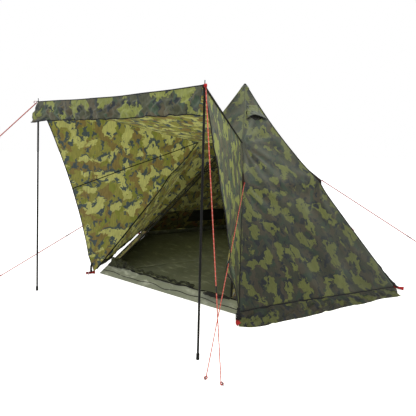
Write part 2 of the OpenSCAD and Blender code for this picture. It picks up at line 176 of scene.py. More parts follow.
def make_object(name, vertices, faces, uvs, finishes, face_finish=None):
    mesh = bpy.data.meshes.new(name)
    mesh.from_pydata(np.asarray(vertices).tolist(), [], [tuple(int(k) for k in f) for f in faces])
    layer = mesh.uv_layers.new(name="cloth")
    index = np.zeros(len(mesh.loops), np.int32)
    mesh.loops.foreach_get("vertex_index", index)
    layer.data.foreach_set("uv", np.asarray(uvs, np.float32)[index].ravel())
    for finish in finishes:
        mesh.materials.append(finish)
    if face_finish is not None:
        mesh.polygons.foreach_set("material_index", np.asarray(face_finish, np.int32))
    mesh.polygons.foreach_set("use_smooth", [True] * len(mesh.polygons))
    mesh.update()
    obj = bpy.data.objects.new(name, mesh)
    bpy.context.scene.collection.objects.link(obj)
    return obj


def sheet(name, points, uv, finishes, thickness=FABRIC, keep=None, rows_finish=None, two_sided=True):
    """A cloth sheet from rows by columns of points, seen from outside with rows going up"""
    rows, cols = points.shape[:2]
    index = np.arange(rows * cols).reshape(rows, cols)
    quads = np.stack([index[:-1, :-1], index[:-1, 1:], index[1:, 1:], index[1:, :-1]], -1)
    finish = np.zeros((rows - 1, cols - 1), int) if rows_finish is None else rows_finish
    kept = np.ones((rows - 1, cols - 1), bool) if keep is None else keep
    quads, finish = quads[kept], finish[kept]
    used, packed = np.unique(quads, return_inverse=True)
    quads = packed.reshape(-1, 4)
    flat_uv = np.broadcast_to(uv, (rows, cols, 2)).reshape(-1, 2)[used]
    obj = make_object(name, points.reshape(-1, 3)[used], quads, flat_uv, finishes, finish)
    shell = obj.modifiers.new("thickness", "SOLIDIFY")
    shell.thickness = thickness
    shell.offset = -1
    if two_sided:
        shell.material_offset = 1
    return obj


def length_along(path):
    return np.concatenate([[0], np.cumsum(np.linalg.norm(np.diff(path, axis=0), axis=1))])


def sweep(name, path, section, finish, up=UP, closed=False):
    """A solid carried along a path; section is K by 2 offsets, sideways and up, or one such per point"""
    path = np.asarray(path, float)
    count = len(path)
    if closed:
        tangent = unit(np.roll(path, -1, 0) - np.roll(path, 1, 0))
    else:
        tangent = unit(np.gradient(path, axis=0))
    ups = np.broadcast_to(np.asarray(up, float), path.shape)
    side = unit(np.cross(tangent, ups))
    lift = unit(np.cross(side, tangent))
    section = np.broadcast_to(section, (count,) + section.shape[-2:])
    ring = path[:, None] + section[..., :1] * side[:, None] + section[..., 1:] * lift[:, None]
    around = section.shape[1]
    index = np.arange(count * around).reshape(count, around)
    last = count if closed else count - 1
    faces = []
    for i in range(last):
        j = (i + 1) % count
        for k in range(around):
            m = (k + 1) % around
            faces.append((index[i, k], index[i, m], index[j, m], index[j, k]))
    if not closed:
        faces.append(tuple(index[0, ::-1]))
        faces.append(tuple(index[-1]))
    length = length_along(path)
    u = np.linspace(0, 1, around)
    uvs = np.stack(np.meshgrid(u, length), -1).reshape(-1, 2)
    return make_object(name, ring.reshape(-1, 3), faces, uvs, [finish])


def round_section(radius, points=10):
    a = circle(points)
    return np.stack([np.cos(a), np.sin(a)], -1) * radius


def flat_section(width, height, points=12, square=3.5):
    """A rounded rectangle"""
    a = circle(points)
    c, s = np.cos(a), np.sin(a)
    return np.stack([
        np.sign(c) * np.abs(c) ** (2 / square) * width / 2,
        np.sign(s) * np.abs(s) ** (2 / square) * height / 2,
    ], -1)


def joined(name, parts):
    """One object from several, sharing their materials"""
    bpy.ops.object.select_all(action="DESELECT")
    for part in parts:
        part.select_set(True)
    bpy.context.view_layer.objects.active = parts[0]
    bpy.ops.object.join()
    parts[0].name = name
    return parts[0]


def label(obj, slot, *nodes):
    """Hides the CAD nodes that a piece stands in for; the slot is not used"""
    if nodes:
        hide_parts(*nodes)
    return obj


def place(obj, body, slot, *nodes):
    """Parents a piece to the body it rides and hides the CAD nodes it stands in for"""
    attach(obj, body)
    return label(obj, slot, *nodes)


# ---- Materials ----

def srgb(r, g, b):
    """A linear colour from the usual 0 to 255 values"""
    def line(c):
        c /= 255
        return c / 12.92 if c <= 0.04045 else ((c + 0.055) / 1.055) ** 2.4
    return (line(r), line(g), line(b), 1.0)


def add(tree, kind, inputs=None, **settings):
    """A shader node with its inputs set or linked"""
    made = tree.nodes.new(kind)
    for key, value in settings.items():
        setattr(made, key, value)
    for key, value in (inputs or {}).items():
        if isinstance(value, bpy.types.NodeSocket):
            tree.links.new(value, made.inputs[key])
        else:
            made.inputs[key].default_value = value
    return made


def new_material(name):
    material = bpy.data.materials.new(name)
    material.use_nodes = True
    tree = material.node_tree
    tree.nodes.clear()
    return material, tree


def finish_with(tree, shader):
    add(tree, "ShaderNodeOutputMaterial", {"Surface": shader})


def ranged(tree, value, low_out, high_out, low_in=0.0, high_in=1.0):
    """The value carried from one range to another and held inside it"""
    return add(tree, "ShaderNodeMapRange", {
        "Value": value, "From Min": low_in, "From Max": high_in,
        "To Min": low_out, "To Max": high_out}).outputs["Result"]


def bump_of(tree, height, strength, distance):
    return add(tree, "ShaderNodeBump", {
        "Height": height, "Strength": strength, "Distance": distance}).outputs["Normal"]


def surface_of(tree, colour, rough, **others):
    """A principled surface; others are its inputs, with _ for a space"""
    inputs = {key.replace("_", " "): value for key, value in others.items()}
    return add(tree, "ShaderNodeBsdfPrincipled", {
        "Base Color": colour, "Roughness": rough, **inputs}).outputs["BSDF"]


def noise_of(tree, vector, scale, detail=2.0, rough=0.5):
    return add(tree, "ShaderNodeTexNoise", {
        "Vector": vector, "Scale": scale, "Detail": detail, "Roughness": rough}).outputs["Fac"]


def shifted(tree, vector, offset, stretch=(1, 1, 1)):
    made = add(tree, "ShaderNodeMapping", {"Vector": vector, "Location": offset, "Scale": stretch})
    return made.outputs["Vector"]


def step_of(tree, value, edge, soft):
    return ranged(tree, value, 0.0, 1.0, edge - soft, edge + soft)


def mixed(tree, factor, a, b):
    return add(tree, "ShaderNodeMixRGB", {"Fac": factor, "Color1": a, "Color2": b}).outputs["Color"]


def cloth_vector(tree):
    return add(tree, "ShaderNodeTexCoord").outputs["UV"]


def object_vector(tree):
    return add(tree, "ShaderNodeTexCoord").outputs["Object"]


def product(tree, a, b):
    return add(tree, "ShaderNodeMath", {0: a, 1: b}, operation="MULTIPLY").outputs[0]


def one_minus(tree, value):
    return add(tree, "ShaderNodeMath", {0: 1.0, 1: value}, operation="SUBTRACT").outputs[0]


def moved_by_noise(tree, vector, pace, reach, detail):
    """The cloth vector pushed about by noise, which frays the edge of any patch drawn with it"""
    wobble = add(tree, "ShaderNodeTexNoise", {
        "Vector": vector, "Scale": pace, "Detail": detail, "Roughness": 0.6}).outputs["Color"]
    centred = add(tree, "ShaderNodeVectorMath", {0: wobble, 1: (0.5, 0.5, 0.5)},
                  operation="SUBTRACT").outputs["Vector"]
    scaled = add(tree, "ShaderNodeVectorMath", {0: centred, "Scale": reach}, operation="SCALE")
    return add(tree, "ShaderNodeVectorMath", {0: vector, 1: scaled.outputs["Vector"]},
               operation="ADD").outputs["Vector"]


def scaled_colour(tree, colour, value):
    return add(tree, "ShaderNodeVectorMath", {0: colour, "Scale": value},
               operation="SCALE").outputs["Vector"]


PRINT_SCALE = 1.22
# Pace and reach of each noise that frays the patches' edges
PRINT_FRAYS = ((5.0, 0.12), (17.0, 0.105), (48.0, 0.034))
# Half width of a patch's blurred edge, and where the pale patches begin, both as noise values
PRINT_SHARP = 0.010
PALE_EDGE = 0.540


def camouflage(tree, vector, base, pale, brown, green, slate):
    """Woodland print: ragged patches over a base colour, with dark strokes along the pale ones"""
    vector = shifted(tree, vector, (0, 0, 0), (PRINT_SCALE, PRINT_SCALE, 1))
    ragged = vector
    for pace, reach in PRINT_FRAYS:
        ragged = moved_by_noise(tree, ragged, pace, reach, 2.0)

    def layer(offset, stretch, scale, detail=0.5, source=ragged):
        return noise_of(tree, shifted(tree, source, (*offset, 0), (*stretch, 1)), scale, detail)

    patch = layer((3.1, 2.2), (1.25, 0.9), 5.6)
    below = layer((3.112, 2.170), (1.25, 0.9), 5.6)
    earth = layer((11.7, 5.2), (1.25, 0.8), 6.4)
    leaf = layer((23.9, 9.2), (1.3, 0.8), 7.5)
    gate = layer((37.3, 1.2), (1, 1), 8.0, 1.0, vector)
    fleck = layer((51.3, 8.2), (1.5, 0.7), 14.0, 0.0)
    colour = mixed(tree, step_of(tree, earth, 0.52, PRINT_SHARP), base, brown)
    colour = mixed(tree, step_of(tree, leaf, 0.60, PRINT_SHARP), colour, green)
    is_pale = step_of(tree, patch, PALE_EDGE, PRINT_SHARP)
    colour = mixed(tree, is_pale, colour, pale)
    border = product(tree, step_of(tree, below, PALE_EDGE + 0.008, PRINT_SHARP), one_minus(tree, is_pale))
    colour = mixed(tree, product(tree, border, step_of(tree, gate, 0.42, 0.03)), colour, slate)
    colour = mixed(tree, step_of(tree, fleck, 0.645, PRINT_SHARP), colour, slate)
    streak = layer((0, 0), (6, 1.0), 12.0, 3.0, vector)
    return scaled_colour(tree, colour, ranged(tree, streak, 0.80, 1.20, 0.3, 0.7))


def ripstop_bump(tree, vector, strength, pitch=0.006):
    """Fine weave with a square grid of thicker threads"""
    lines = []
    for way in ("X", "Y"):
        wave = add(tree, "ShaderNodeTexWave", {
            "Vector": vector, "Scale": 1 / pitch / 3.2, "Distortion": 0.0}, bands_direction=way)
        lines.append(wave.outputs["Fac"])
    grid = add(tree, "ShaderNodeMath", {0: lines[0], 1: lines[1]}, operation="MAXIMUM").outputs[0]
    weave = noise_of(tree, vector, 900.0, 1.0)
    height = mixed(tree, 0.35, grid, weave)
    return bump_of(tree, height, strength, 0.0006)


def let_light_in(tree, shader, share):
    """Cloth that is opaque to the eye but passes a share of the daylight on, greened by the print"""
    seen = add(tree, "ShaderNodeLightPath").outputs["Is Camera Ray"]
    clear = add(tree, "ShaderNodeBsdfTransparent", {"Color": srgb(244, 244, 200)})
    passed = product(tree, one_minus(tree, seen), share)
    return add(tree, "ShaderNodeMixShader", {
        "Fac": passed, 1: shader, 2: clear.outputs["BSDF"]}).outputs["Shader"]


# Share of the daylight that the fly passes on
DAYLIGHT_SHARE = 0.60


def camo_outside(name, edge_sheen=0.46, brightness=1.0, low_shade=1.0, high_shade=1.0, sheen_streaks=0.0, gloss=1.0):
    """The printed face of the fly: matt, with a painted grey sheen where it is seen edge-on, and painted
    shade low down and painted light high up
    """
    material, tree = new_material(name)
    vector = cloth_vector(tree)
    colour = camouflage(tree, vector, srgb(53, 55, 40), srgb(98, 103, 50), srgb(64, 59, 44),
                        srgb(44, 57, 42), srgb(30, 35, 38))
    # Painted sheen: the print is mixed towards pale grey where the cloth is seen edge-on
    facing = add(tree, "ShaderNodeLayerWeight", {"Blend": 0.5}).outputs["Facing"]
    colour = mixed(tree, ranged(tree, facing, 0.0, edge_sheen, 0.22, 0.70), colour, srgb(150, 157, 140))
    mottle = noise_of(tree, vector, 1.8, 3.0)
    shade = ranged(tree, mottle, 0.82 * brightness, 1.18 * brightness, 0.3, 0.7)
    colour = scaled_colour(tree, colour, shade)
    # Painted shade and painted light: the print is darker low down and lighter high up
    height = add(tree, "ShaderNodeSeparateXYZ", {"Vector": object_vector(tree)}).outputs["Z"]
    colour = scaled_colour(tree, colour, ranged(tree, height, low_shade, high_shade, 0.25, 1.5))
    # Painted sheen: pale grey streaks mixed into the print
    if sheen_streaks:
        fine = noise_of(tree, shifted(tree, vector, (0, 0, 0), (9, 0.9, 1)), 7.0, 4.0, 0.6)
        colour = mixed(tree, product(tree, step_of(tree, fine, 0.60, 0.08), sheen_streaks), colour,
                       srgb(168, 172, 150))
    shader = surface_of(tree, colour, 0.55, Specular_IOR_Level=0.3 * gloss, Sheen_Weight=0.08 * gloss,
                        Sheen_Roughness=0.5, Normal=ripstop_bump(tree, vector, 0.35))
    finish_with(tree, let_light_in(tree, shader, DAYLIGHT_SHARE))
    return material


# Where the daylight that shows through the fly comes from; the backlit cloth's folds are painted lighter or
# darker by how they face this way
SUN_WAY = (0.66, 0.52, 0.54)


def camo_inside(name, glow=0.53):
    """The back of the fly with daylight coming through it: the print shows bright and yellowed, painted as
    a glowing copy whose folds glow more or less by how they face the sun
    """
    material, tree = new_material(name)
    vector = cloth_vector(tree)
    colour = camouflage(tree, vector, srgb(124, 122, 62), srgb(162, 162, 98), srgb(114, 100, 58),
                        srgb(112, 116, 52), srgb(64, 74, 76))
    normal = ripstop_bump(tree, vector, 0.3)
    # Painted light: the print glows, more where its folds face towards or away from the sun
    toward = add(tree, "ShaderNodeVectorMath", {0: normal, 1: SUN_WAY},
                 operation="DOT_PRODUCT").outputs["Value"]
    behind = add(tree, "ShaderNodeMath", {0: toward}, operation="ABSOLUTE").outputs[0]
    strength = ranged(tree, behind, glow * 0.3, glow * 1.5)
    light = add(tree, "ShaderNodeEmission", {"Color": colour, "Strength": strength})
    cloth = surface_of(tree, colour, 0.65, Specular_IOR_Level=0.25, Normal=normal)
    both = add(tree, "ShaderNodeAddShader", {0: cloth, 1: light.outputs["Emission"]})
    finish_with(tree, let_light_in(tree, both.outputs["Shader"], DAYLIGHT_SHARE))
    return material


WOVEN_ROUGH = 0.75


def woven(name, colour, dark, pitch=0.004, bump=0.6, spread=6.0):
    """Webbing, binding or plain cloth: two tones broken up by weave and wear"""
    material, tree = new_material(name)
    vector = object_vector(tree)
    wear = noise_of(tree, vector, spread, 4.0, 0.6)
    tone = mixed(tree, step_of(tree, wear, 0.5, 0.18), dark, colour)
    thread = noise_of(tree, vector, 1 / pitch, 2.0)
    tone = mixed(tree, product(tree, thread, 0.35), tone, dark)
    finish_with(tree, surface_of(tree, tone, WOVEN_ROUGH, Specular_IOR_Level=0.3, Sheen_Weight=0.1,
                                 Normal=bump_of(tree, thread, bump, 0.0008)))
    return material


def hard(name, colour, worn, rough, metallic=0.0):
    """Plastic, rubber or metal with faint scuffs"""
    material, tree = new_material(name)
    vector = object_vector(tree)
    scuff = noise_of(tree, vector, 9.0, 6.0, 0.7)
    tone = mixed(tree, step_of(tree, scuff, 0.62, 0.1), colour, worn)
    gloss = ranged(tree, scuff, rough * 0.8, rough * 1.2)
    finish_with(tree, surface_of(tree, tone, gloss, Metallic=metallic, Specular_IOR_Level=0.25,
                                 Normal=bump_of(tree, noise_of(tree, vector, 400.0, 2.0), 0.15, 0.0004)))
    return material


def braid(name, body=(206, 88, 74), fleck=(226, 146, 128)):
    """Salmon cord with pale flecks that spiral along it"""
    material, tree = new_material(name)
    vector = cloth_vector(tree)
    spiral = add(tree, "ShaderNodeTexWave", {
        "Vector": shifted(tree, vector, (0, 0, 0), (0.03, 1, 1)), "Scale": 11.0, "Distortion": 0.6},
        bands_direction="Y").outputs["Fac"]
    colour = mixed(tree, step_of(tree, spiral, 0.86, 0.20), srgb(*body), srgb(*fleck))
    normal = bump_of(tree, noise_of(tree, vector, 700.0, 2.0), 0.5, 0.0006)
    finish_with(tree, surface_of(tree, colour, WOVEN_ROUGH, Normal=normal))
    return material


def netting(name, open_share):
    """Fine black insect mesh that is mostly see-through"""
    material, tree = new_material(name)
    vector = cloth_vector(tree)
    tone = mixed(tree, noise_of(tree, vector, 5.0, 3.0), srgb(20, 20, 20), srgb(44, 44, 40))
    cloth = surface_of(tree, tone, 0.8)
    clear = add(tree, "ShaderNodeBsdfTransparent").outputs["BSDF"]
    slack = noise_of(tree, vector, 3.0, 2.0)
    share = ranged(tree, slack, open_share - 0.05, open_share + 0.05)
    both = add(tree, "ShaderNodeMixShader", {"Fac": share, 1: cloth, 2: clear})
    finish_with(tree, both.outputs["Shader"])
    return material


def solid_band(name):
    """Solid lower band of the inner tent: dark cloth with the fly's print dimly through it"""
    material, tree = new_material(name)
    vector = cloth_vector(tree)
    colour = camouflage(tree, vector, srgb(104, 100, 70), srgb(140, 134, 84), srgb(126, 92, 62),
                        srgb(84, 94, 66), srgb(60, 62, 56))
    finish_with(tree, surface_of(tree, colour, 0.6, Normal=ripstop_bump(tree, vector, 0.3)))
    return material


def coated_floor(name, colour, dark, pale):
    """Coated floor cloth: soft creases catch the light, painted as pale highlights in its colour, and bump
    it
    """
    material, tree = new_material(name)
    vector = object_vector(tree)
    broad = noise_of(tree, vector, 1.6, 4.0, 0.55)
    tone = mixed(tree, step_of(tree, broad, 0.5, 0.22), dark, colour)
    crease = noise_of(tree, shifted(tree, vector, (2, 5, 0), (1, 3.2, 1)), 7.0, 5.0, 0.6)
    # Painted highlight: crease lines mixed towards the pale colour
    tone = mixed(tree, step_of(tree, crease, 0.62, 0.07), tone, pale)
    height = mixed(tree, 0.5, crease, noise_of(tree, vector, 30.0, 3.0))
    finish_with(tree, surface_of(tree, tone, 0.5, Specular_IOR_Level=0.4,
                                 Normal=bump_of(tree, height, 0.7, 0.006)))
    return material


# Lit and shaded copies of the fly's print: the wings and valance brighter, as painted light, and the skirt
# darker, as painted shade
OUTSIDE = camo_outside("fly_print", low_shade=0.84, high_shade=1.14)
WING_OUTSIDE = camo_outside("fly_print_wings", edge_sheen=0.06, brightness=1.75, low_shade=0.58, high_shade=1.46,
                            sheen_streaks=0.30, gloss=0.1)
LOOSE_OUTSIDE = camo_outside("fly_print_valance", edge_sheen=0.08, brightness=1.90)
SKIRT_OUTSIDE = camo_outside("fly_print_skirt", edge_sheen=0.04, brightness=0.68)
INSIDE = camo_inside("fly_print_backlit")
BINDING = woven("seam_binding", srgb(26, 26, 25), srgb(12, 12, 12))
RIDGE_CLOTH = woven("ridge_seam", srgb(36, 36, 30), srgb(18, 18, 15))
TAB_CLOTH = woven("tab_cloth", srgb(58, 40, 34), srgb(30, 24, 22))
RED_WEB = woven("red_webbing", srgb(196, 32, 30), srgb(140, 18, 18))
BLACK_WEB = woven("black_webbing", srgb(30, 30, 30), srgb(14, 14, 14))
BUNDLE = woven("bundled_mesh", srgb(40, 40, 38), srgb(12, 12, 12), pitch=0.01, bump=0.9)
GATHER = woven("gathered_hem", srgb(76, 80, 54), srgb(16, 17, 14), pitch=0.006, bump=0.9, spread=16.0)
CORD = braid("braided_cord")
DULL_CORD = braid("braided_cord_dull", (186, 84, 76), (196, 100, 92))
NET = netting("insect_mesh", 0.72)
# The vent's mesh is nearly opaque black: real black mesh, and painted shade in the hole behind it
VENT_NET = netting("vent_insect_mesh", 0.12)
BAND = solid_band("inner_band")
FLOOR = coated_floor("floor_cloth", srgb(134, 138, 127), srgb(108, 113, 103), srgb(172, 175, 162))
# The rim's outer face is a lighter copy of the floor cloth: painted light on the upturned edge
RIM = coated_floor("rim_cloth", srgb(160, 164, 146), srgb(128, 133, 114), srgb(190, 193, 176))
PLASTIC = hard("black_moulding", srgb(26, 26, 27), srgb(58, 58, 58), 0.45)
RUBBER = hard("black_rubber", srgb(24, 24, 24), srgb(50, 50, 48), 0.8)
POLE = hard("pole_coating", srgb(13, 13, 14), srgb(38, 39, 42), 0.42, metallic=0.1)
STEEL = hard("bent_steel", srgb(150, 150, 152), srgb(110, 108, 106), 0.35, metallic=1.0)


# ---- Fly ----

# How far each ridge sags in above its guyline tab
RIDGE_SAG = [0.018, 0.018, 0.050, 0.045, 0.045, 0.050]
RIDGE_SAG_BELOW_TAB = 0.006
# How far a guyline pulls its ridge out, and the share of the height that the pull reaches
TAB_PULL = 0.022
TAB_PULL_REACH = 0.045
# How far the canopy pulls each ridge forward at the fold, and the share that the pull reaches
FOLD_PULL = [0.022, 0.036, 0, 0, 0, 0]
FOLD_PULL_REACH = 0.06


def ridge_shift(i, share):
    """How far a ridge stands out of its straight line, by share of the height"""
    above = np.clip((share - TAB_SHARE) / (1 - TAB_SHARE), 0, 1)
    below = np.clip((TAB_SHARE - share) / TAB_SHARE, 0, 1)
    pull = TAB_PULL * np.exp(-(((share - TAB_SHARE) / TAB_PULL_REACH) ** 2))
    return pull - RIDGE_SAG[i] * np.sin(math.pi * above) - RIDGE_SAG_BELOW_TAB * np.sin(math.pi * below)


def ridge(i, share):
    """Points on ridge i; share is an array"""
    i %= SIDES
    share = np.asarray(share, float)[..., None]
    out = direction(corner_azimuth(i))
    forward = FOLD_PULL[i] * np.exp(-(((share - FOLD_SHARE) / FOLD_PULL_REACH) ** 2))
    line = out * CORNER_R * (1 - share) + PEAK * share + out * ridge_shift(i, share)
    return line + np.array([0, -1.0, 0]) * forward


# How far each face's hem is lifted between its corners
HEM_LIFT = [0.010, 0.008, 0.012, 0.012, 0.012, 0.042]
# How far each ridge's hem corner is pulled down, as a share of the hem's height
HEM_DROP = [0, 0, 0.74, 0, 0, 0]
WALL_SAG = 0.026
WALL_TOP_SHARE = 0.975


def dropped(i, u, share):
    """Share of the height after the hem is pulled down towards the ground at a corner"""
    corner_drop = mix(HEM_DROP[i % SIDES], HEM_DROP[(i + 1) % SIDES], smooth((u + 1) / 2))
    fade = np.clip(1 - (share - HEM_SHARE) / (1 - HEM_SHARE), 0, 1) ** 6
    return share - HEM_SHARE * corner_drop * fade


def face_half(share):
    """Half the flat width of a fly face at a share of the height"""
    return CORNER_R / 2 * (1 - share)


def wall(i, u, share):
    """Points on fly face i: u runs -1 to 1 between its ridges, share runs up to the peak"""
    u, share = np.broadcast_arrays(u, share)
    share = dropped(i, u, share)
    base = mix(ridge(i, share), ridge(i + 1, share), ((u + 1) / 2)[..., None])
    x, y = u * face_half(share), share * FACE_LEN
    hem = (share - HEM_SHARE) / (1 - HEM_SHARE)
    inside = 1 - np.abs(u) ** 6
    dent = -WALL_SAG * (1 - u**2) * np.sin(math.pi * np.clip(hem, 0, 1)) * (1 - 0.3 * hem)
    tab_y = TAB_SHARE * FACE_LEN
    tab_x = face_half(TAB_SHARE)
    seed = 40 + 7 * i
    for s in (-1, 1):
        dent = dent + 0.006 * rays(x, y, s * tab_x, tab_y, 9, 0.42, seed + s) * inside
        dent = dent + 0.0045 * rays(x, y, s * CORNER_R / 2, 0, 14, 0.6, seed + 3 + s) * inside
    if i in (LEFT_FRONT, RIGHT_FRONT):
        s = 1 if i == LEFT_FRONT else -1
        fold_x = face_half(FOLD_SHARE)
        dent = dent + 0.011 * rays(x, y, s * fold_x, FOLD_SHARE * FACE_LEN, 12, 0.62, seed + 9) * inside
    if i == LEFT_FRONT:
        along_ridge = x - face_half(share)
        fade = smooth((u + 0.2) / 0.5)
        dent = dent + 0.011 * crumple(along_ridge, y * 0.10, 0.16, seed + 8) * inside * fade
        dent = dent + 0.004 * crumple(along_ridge, y * 0.15, 0.055, seed + 11) * inside * smooth(u / 0.4)
    dent = dent + 0.0045 * crumple(x, y, 0.5, seed + 5) * inside
    dent = dent + 0.0010 * crumple(x, y, 0.13, seed + 6) * inside
    hem_wave = HEM_LIFT[i] * (1 - u**4) * (1 - np.clip(hem * 4, 0, 1))
    up_slope = UP * math.sin(FACE_ANGLE) - direction(face_azimuth(i)) * math.cos(FACE_ANGLE)
    return base + face_normal(i) * dent[..., None] + up_slope * hem_wave[..., None]


def wall_uv(i, u, share):
    u, share = np.broadcast_arrays(u, share)
    return np.stack([u * CORNER_R / 2 * (1 - share) + 3.7 * i, share * FACE_LEN + 1.3 * i], -1)


def vent_top():
    """Distance of the vent hood's top up the slope of the right front face"""
    return joint_point("vent_flap")[2] / math.sin(FACE_ANGLE)


# Half width and length of the vent hood; its hole's distance below the hood's top, and half sizes
VENT_HALF = 0.150
VENT_LEN = 0.227
VENT_HOLE_DOWN = 0.136
VENT_HOLE = (0.120, 0.068)


def fly_walls():
    cols, rows = 61, 91
    for i in range(1, SIDES):
        u = columns(cols)
        share = np.linspace(HEM_SHARE, WALL_TOP_SHARE, rows)[:, None]
        keep = None
        if i == RIGHT_FRONT:
            hole = (vent_top() - VENT_HOLE_DOWN + VENT_HOLE[1] * np.linspace(-1.3, 1.3, 48)) / FACE_LEN
            share = np.sort(np.concatenate([share[:, 0], hole]))[:, None]
            uu = (u[:, 1:] + u[:, :-1]) / 2
            ss = (share[1:] + share[:-1]) / 2
            x = uu * CORNER_R / 2 * (1 - ss)
            y = ss * FACE_LEN
            keep = np.hypot(x / VENT_HOLE[0], (y - vent_top() + VENT_HOLE_DOWN) / VENT_HOLE[1]) > 1
        obj = sheet(f"cloth_wall_{FACE_NAMES[i]}", wall(i, u, share), wall_uv(i, u, share),
                    [OUTSIDE, INSIDE], keep=keep)
        place(obj, "root", "fly_fabric", f"fly_wall_{FACE_NAMES[i]}")
    u = columns(41)
    share = np.linspace(FOLD_SHARE, WALL_TOP_SHARE, 41)[:, None]
    obj = sheet("cloth_peak_front", wall(0, u, share), wall_uv(0, u, share), [OUTSIDE, INSIDE])
    place(obj, "root", "fly_fabric", "fly_peak_front")


# The cap's lower edge, and the row of its cloth where the dark tip begins
CAP_LOW_SHARE = 0.969
CAP_TIP_ROW = 9
# The cap closes to a rounded point above this share of its rows
CAP_ROUND_FROM = 0.86


def fly_cap():
    """A rounded six-sided cap sewn over the seams at the peak"""
    around, rows = 72, 16
    rings = []
    azimuth = circle(around)
    for k in range(rows):
        t = k / (rows - 1)
        share = mix(CAP_LOW_SHARE, 1.0, t)
        rounding = max(0, (t - CAP_ROUND_FROM) / 0.14)
        to_corner = (azimuth - corner_azimuth(0)) % TURN - TURN / 2
        flat = math.cos(TURN / 2) / np.cos(to_corner)
        radius = CORNER_R * (1 - share) * mix(flat, 0.93, 0.12) + 0.003
        radius = radius * math.sqrt(max(1 - rounding**2, 0.0)) + 1e-4
        z = PEAK_Z * share + 0.004 - 0.008 * rounding
        rings.append(np.stack([radius * np.cos(azimuth), radius * np.sin(azimuth),
                               np.full(around, z)], -1))
    points = np.array(rings)
    points = np.concatenate([points, points[:, :1]], 1)
    u = np.linspace(0, CORNER_R * 0.35, around + 1)[None]
    v = np.linspace(0, 0.18, rows)[:, None]
    uv = np.stack(np.broadcast_arrays(u, v), -1)
    finish = np.zeros((rows - 1, around), int)
    finish[CAP_TIP_ROW:] = 1
    obj = sheet("cloth_cap", points, uv, [OUTSIDE, RIDGE_CLOTH], thickness=0.002, rows_finish=finish,
                two_sided=False)
    weld = obj.modifiers.new("seam", "WELD")
    weld.merge_threshold = 0.0003
    obj.modifiers.move(1, 0)
    place(obj, "root", "fly_fabric", "fly_cap")


def ridge_normal(i):
    return unit(face_normal(i - 1) + face_normal(i))


BINDING_TOP_SHARE = 0.968
# The front ridges' dark tape ends here, and a printed seam goes on to the top
WING_SEAM_SHARE = 0.36


def ridge_tape(name, i, ends, out, size, finish):
    """A tape along ridge i between two shares of the height, out from the cloth"""
    path = ridge(i, np.linspace(*ends, 90)) + ridge_normal(i) * out
    return sweep(f"{name}_{i}", path, flat_section(*size), finish, ridge_normal(i))


def ridge_bindings():
    parts = []
    front = (FRONT_LEFT, FRONT_RIGHT)
    for i in range(SIDES):
        start = HEM_SHARE * (1 - HEM_DROP[i]) - 0.002
        end = WING_SEAM_SHARE if i in front else BINDING_TOP_SHARE
        parts.append(ridge_tape("ridge_binding", i, (start, end), 0.002, (0.016, 0.006), RIDGE_CLOTH))
        if i in front:
            ends = (WING_SEAM_SHARE, BINDING_TOP_SHARE)
            parts.append(ridge_tape("ridge_seam", i, ends, 0.001, (0.009, 0.005), OUTSIDE))
    for i in front:
        ends = (HEM_SHARE, FOLD_SHARE)
        parts.append(ridge_tape("wing_root", i, ends, -0.006, (0.016, 0.008), BINDING))
    place(joined("ridge_bindings", parts), "root", "binding", "ridge_tapes")


SKIRT_CUT = 0.105
SKIRT_COLS, SKIRT_ROWS = 121, 13
SKIRT_TOP_SHARE = HEM_SHARE + 0.004


def skirt(i, u, t):
    """Mud skirt below face i: t runs 0 at the hem to 1 on the ground"""
    u, t = np.broadcast_arrays(u, t)
    x = u * CORNER_R / 2
    if i == LEFT_FRONT:
        folded_in = wall(i, u, SKIRT_TOP_SHARE + 0.030 * t)
        gap = 0.004 + 0.006 * np.sin(math.pi * t) + 0.003 * np.abs(crumple(x, t * 0.1, 0.14, 69))
        return folded_in - face_normal(i) * gap[..., None]
    hem = wall(i, u, np.full(u.shape, SKIRT_TOP_SHARE))
    reach = SKIRT_OUT - 0.006 + 0.016 * crumple(x, t * 0, 0.42, 70 + i) - 0.05 * np.abs(u) ** 14
    if i == RIGHT_BACK:
        reach = reach * mix(0.15, 1.0, smooth((u + 1) / 1.1))
    outer = direction(face_azimuth(i)) * (APOTHEM + reach)[..., None]
    along = direction(face_azimuth(i) + math.pi / 2)
    half = (APOTHEM + SKIRT_OUT) * math.tan(TURN / 2)
    cut = half - CORNER_R / 2
    shorter = (cut + SKIRT_CUT) * smooth((u - 0.8) / 0.2) - (cut * 0.6) * smooth((-u - 0.85) / 0.15)
    outer = outer + along * (u * half - shorter)[..., None]
    path = mix(hem, outer, t[..., None])
    belly = np.sin(math.pi * t) * 0.020
    fold = 0.013 * t * (1 - 0.45 * t) * crumple(x, t * 0.15, 0.13, 80 + i)
    fold = fold + 0.007 * crumple(x, t * 0.2, 0.055, 90 + i) * np.sin(math.pi * t)
    fold = fold + 0.010 * crumple(x * 0.25, t * 0.13 + x * 0.12, 0.06, 95 + i) * np.sin(math.pi * t)
    path = path + direction(face_azimuth(i)) * belly[..., None] + UP * fold[..., None]
    path[..., 2] = np.maximum(path[..., 2], 0.003)
    return path


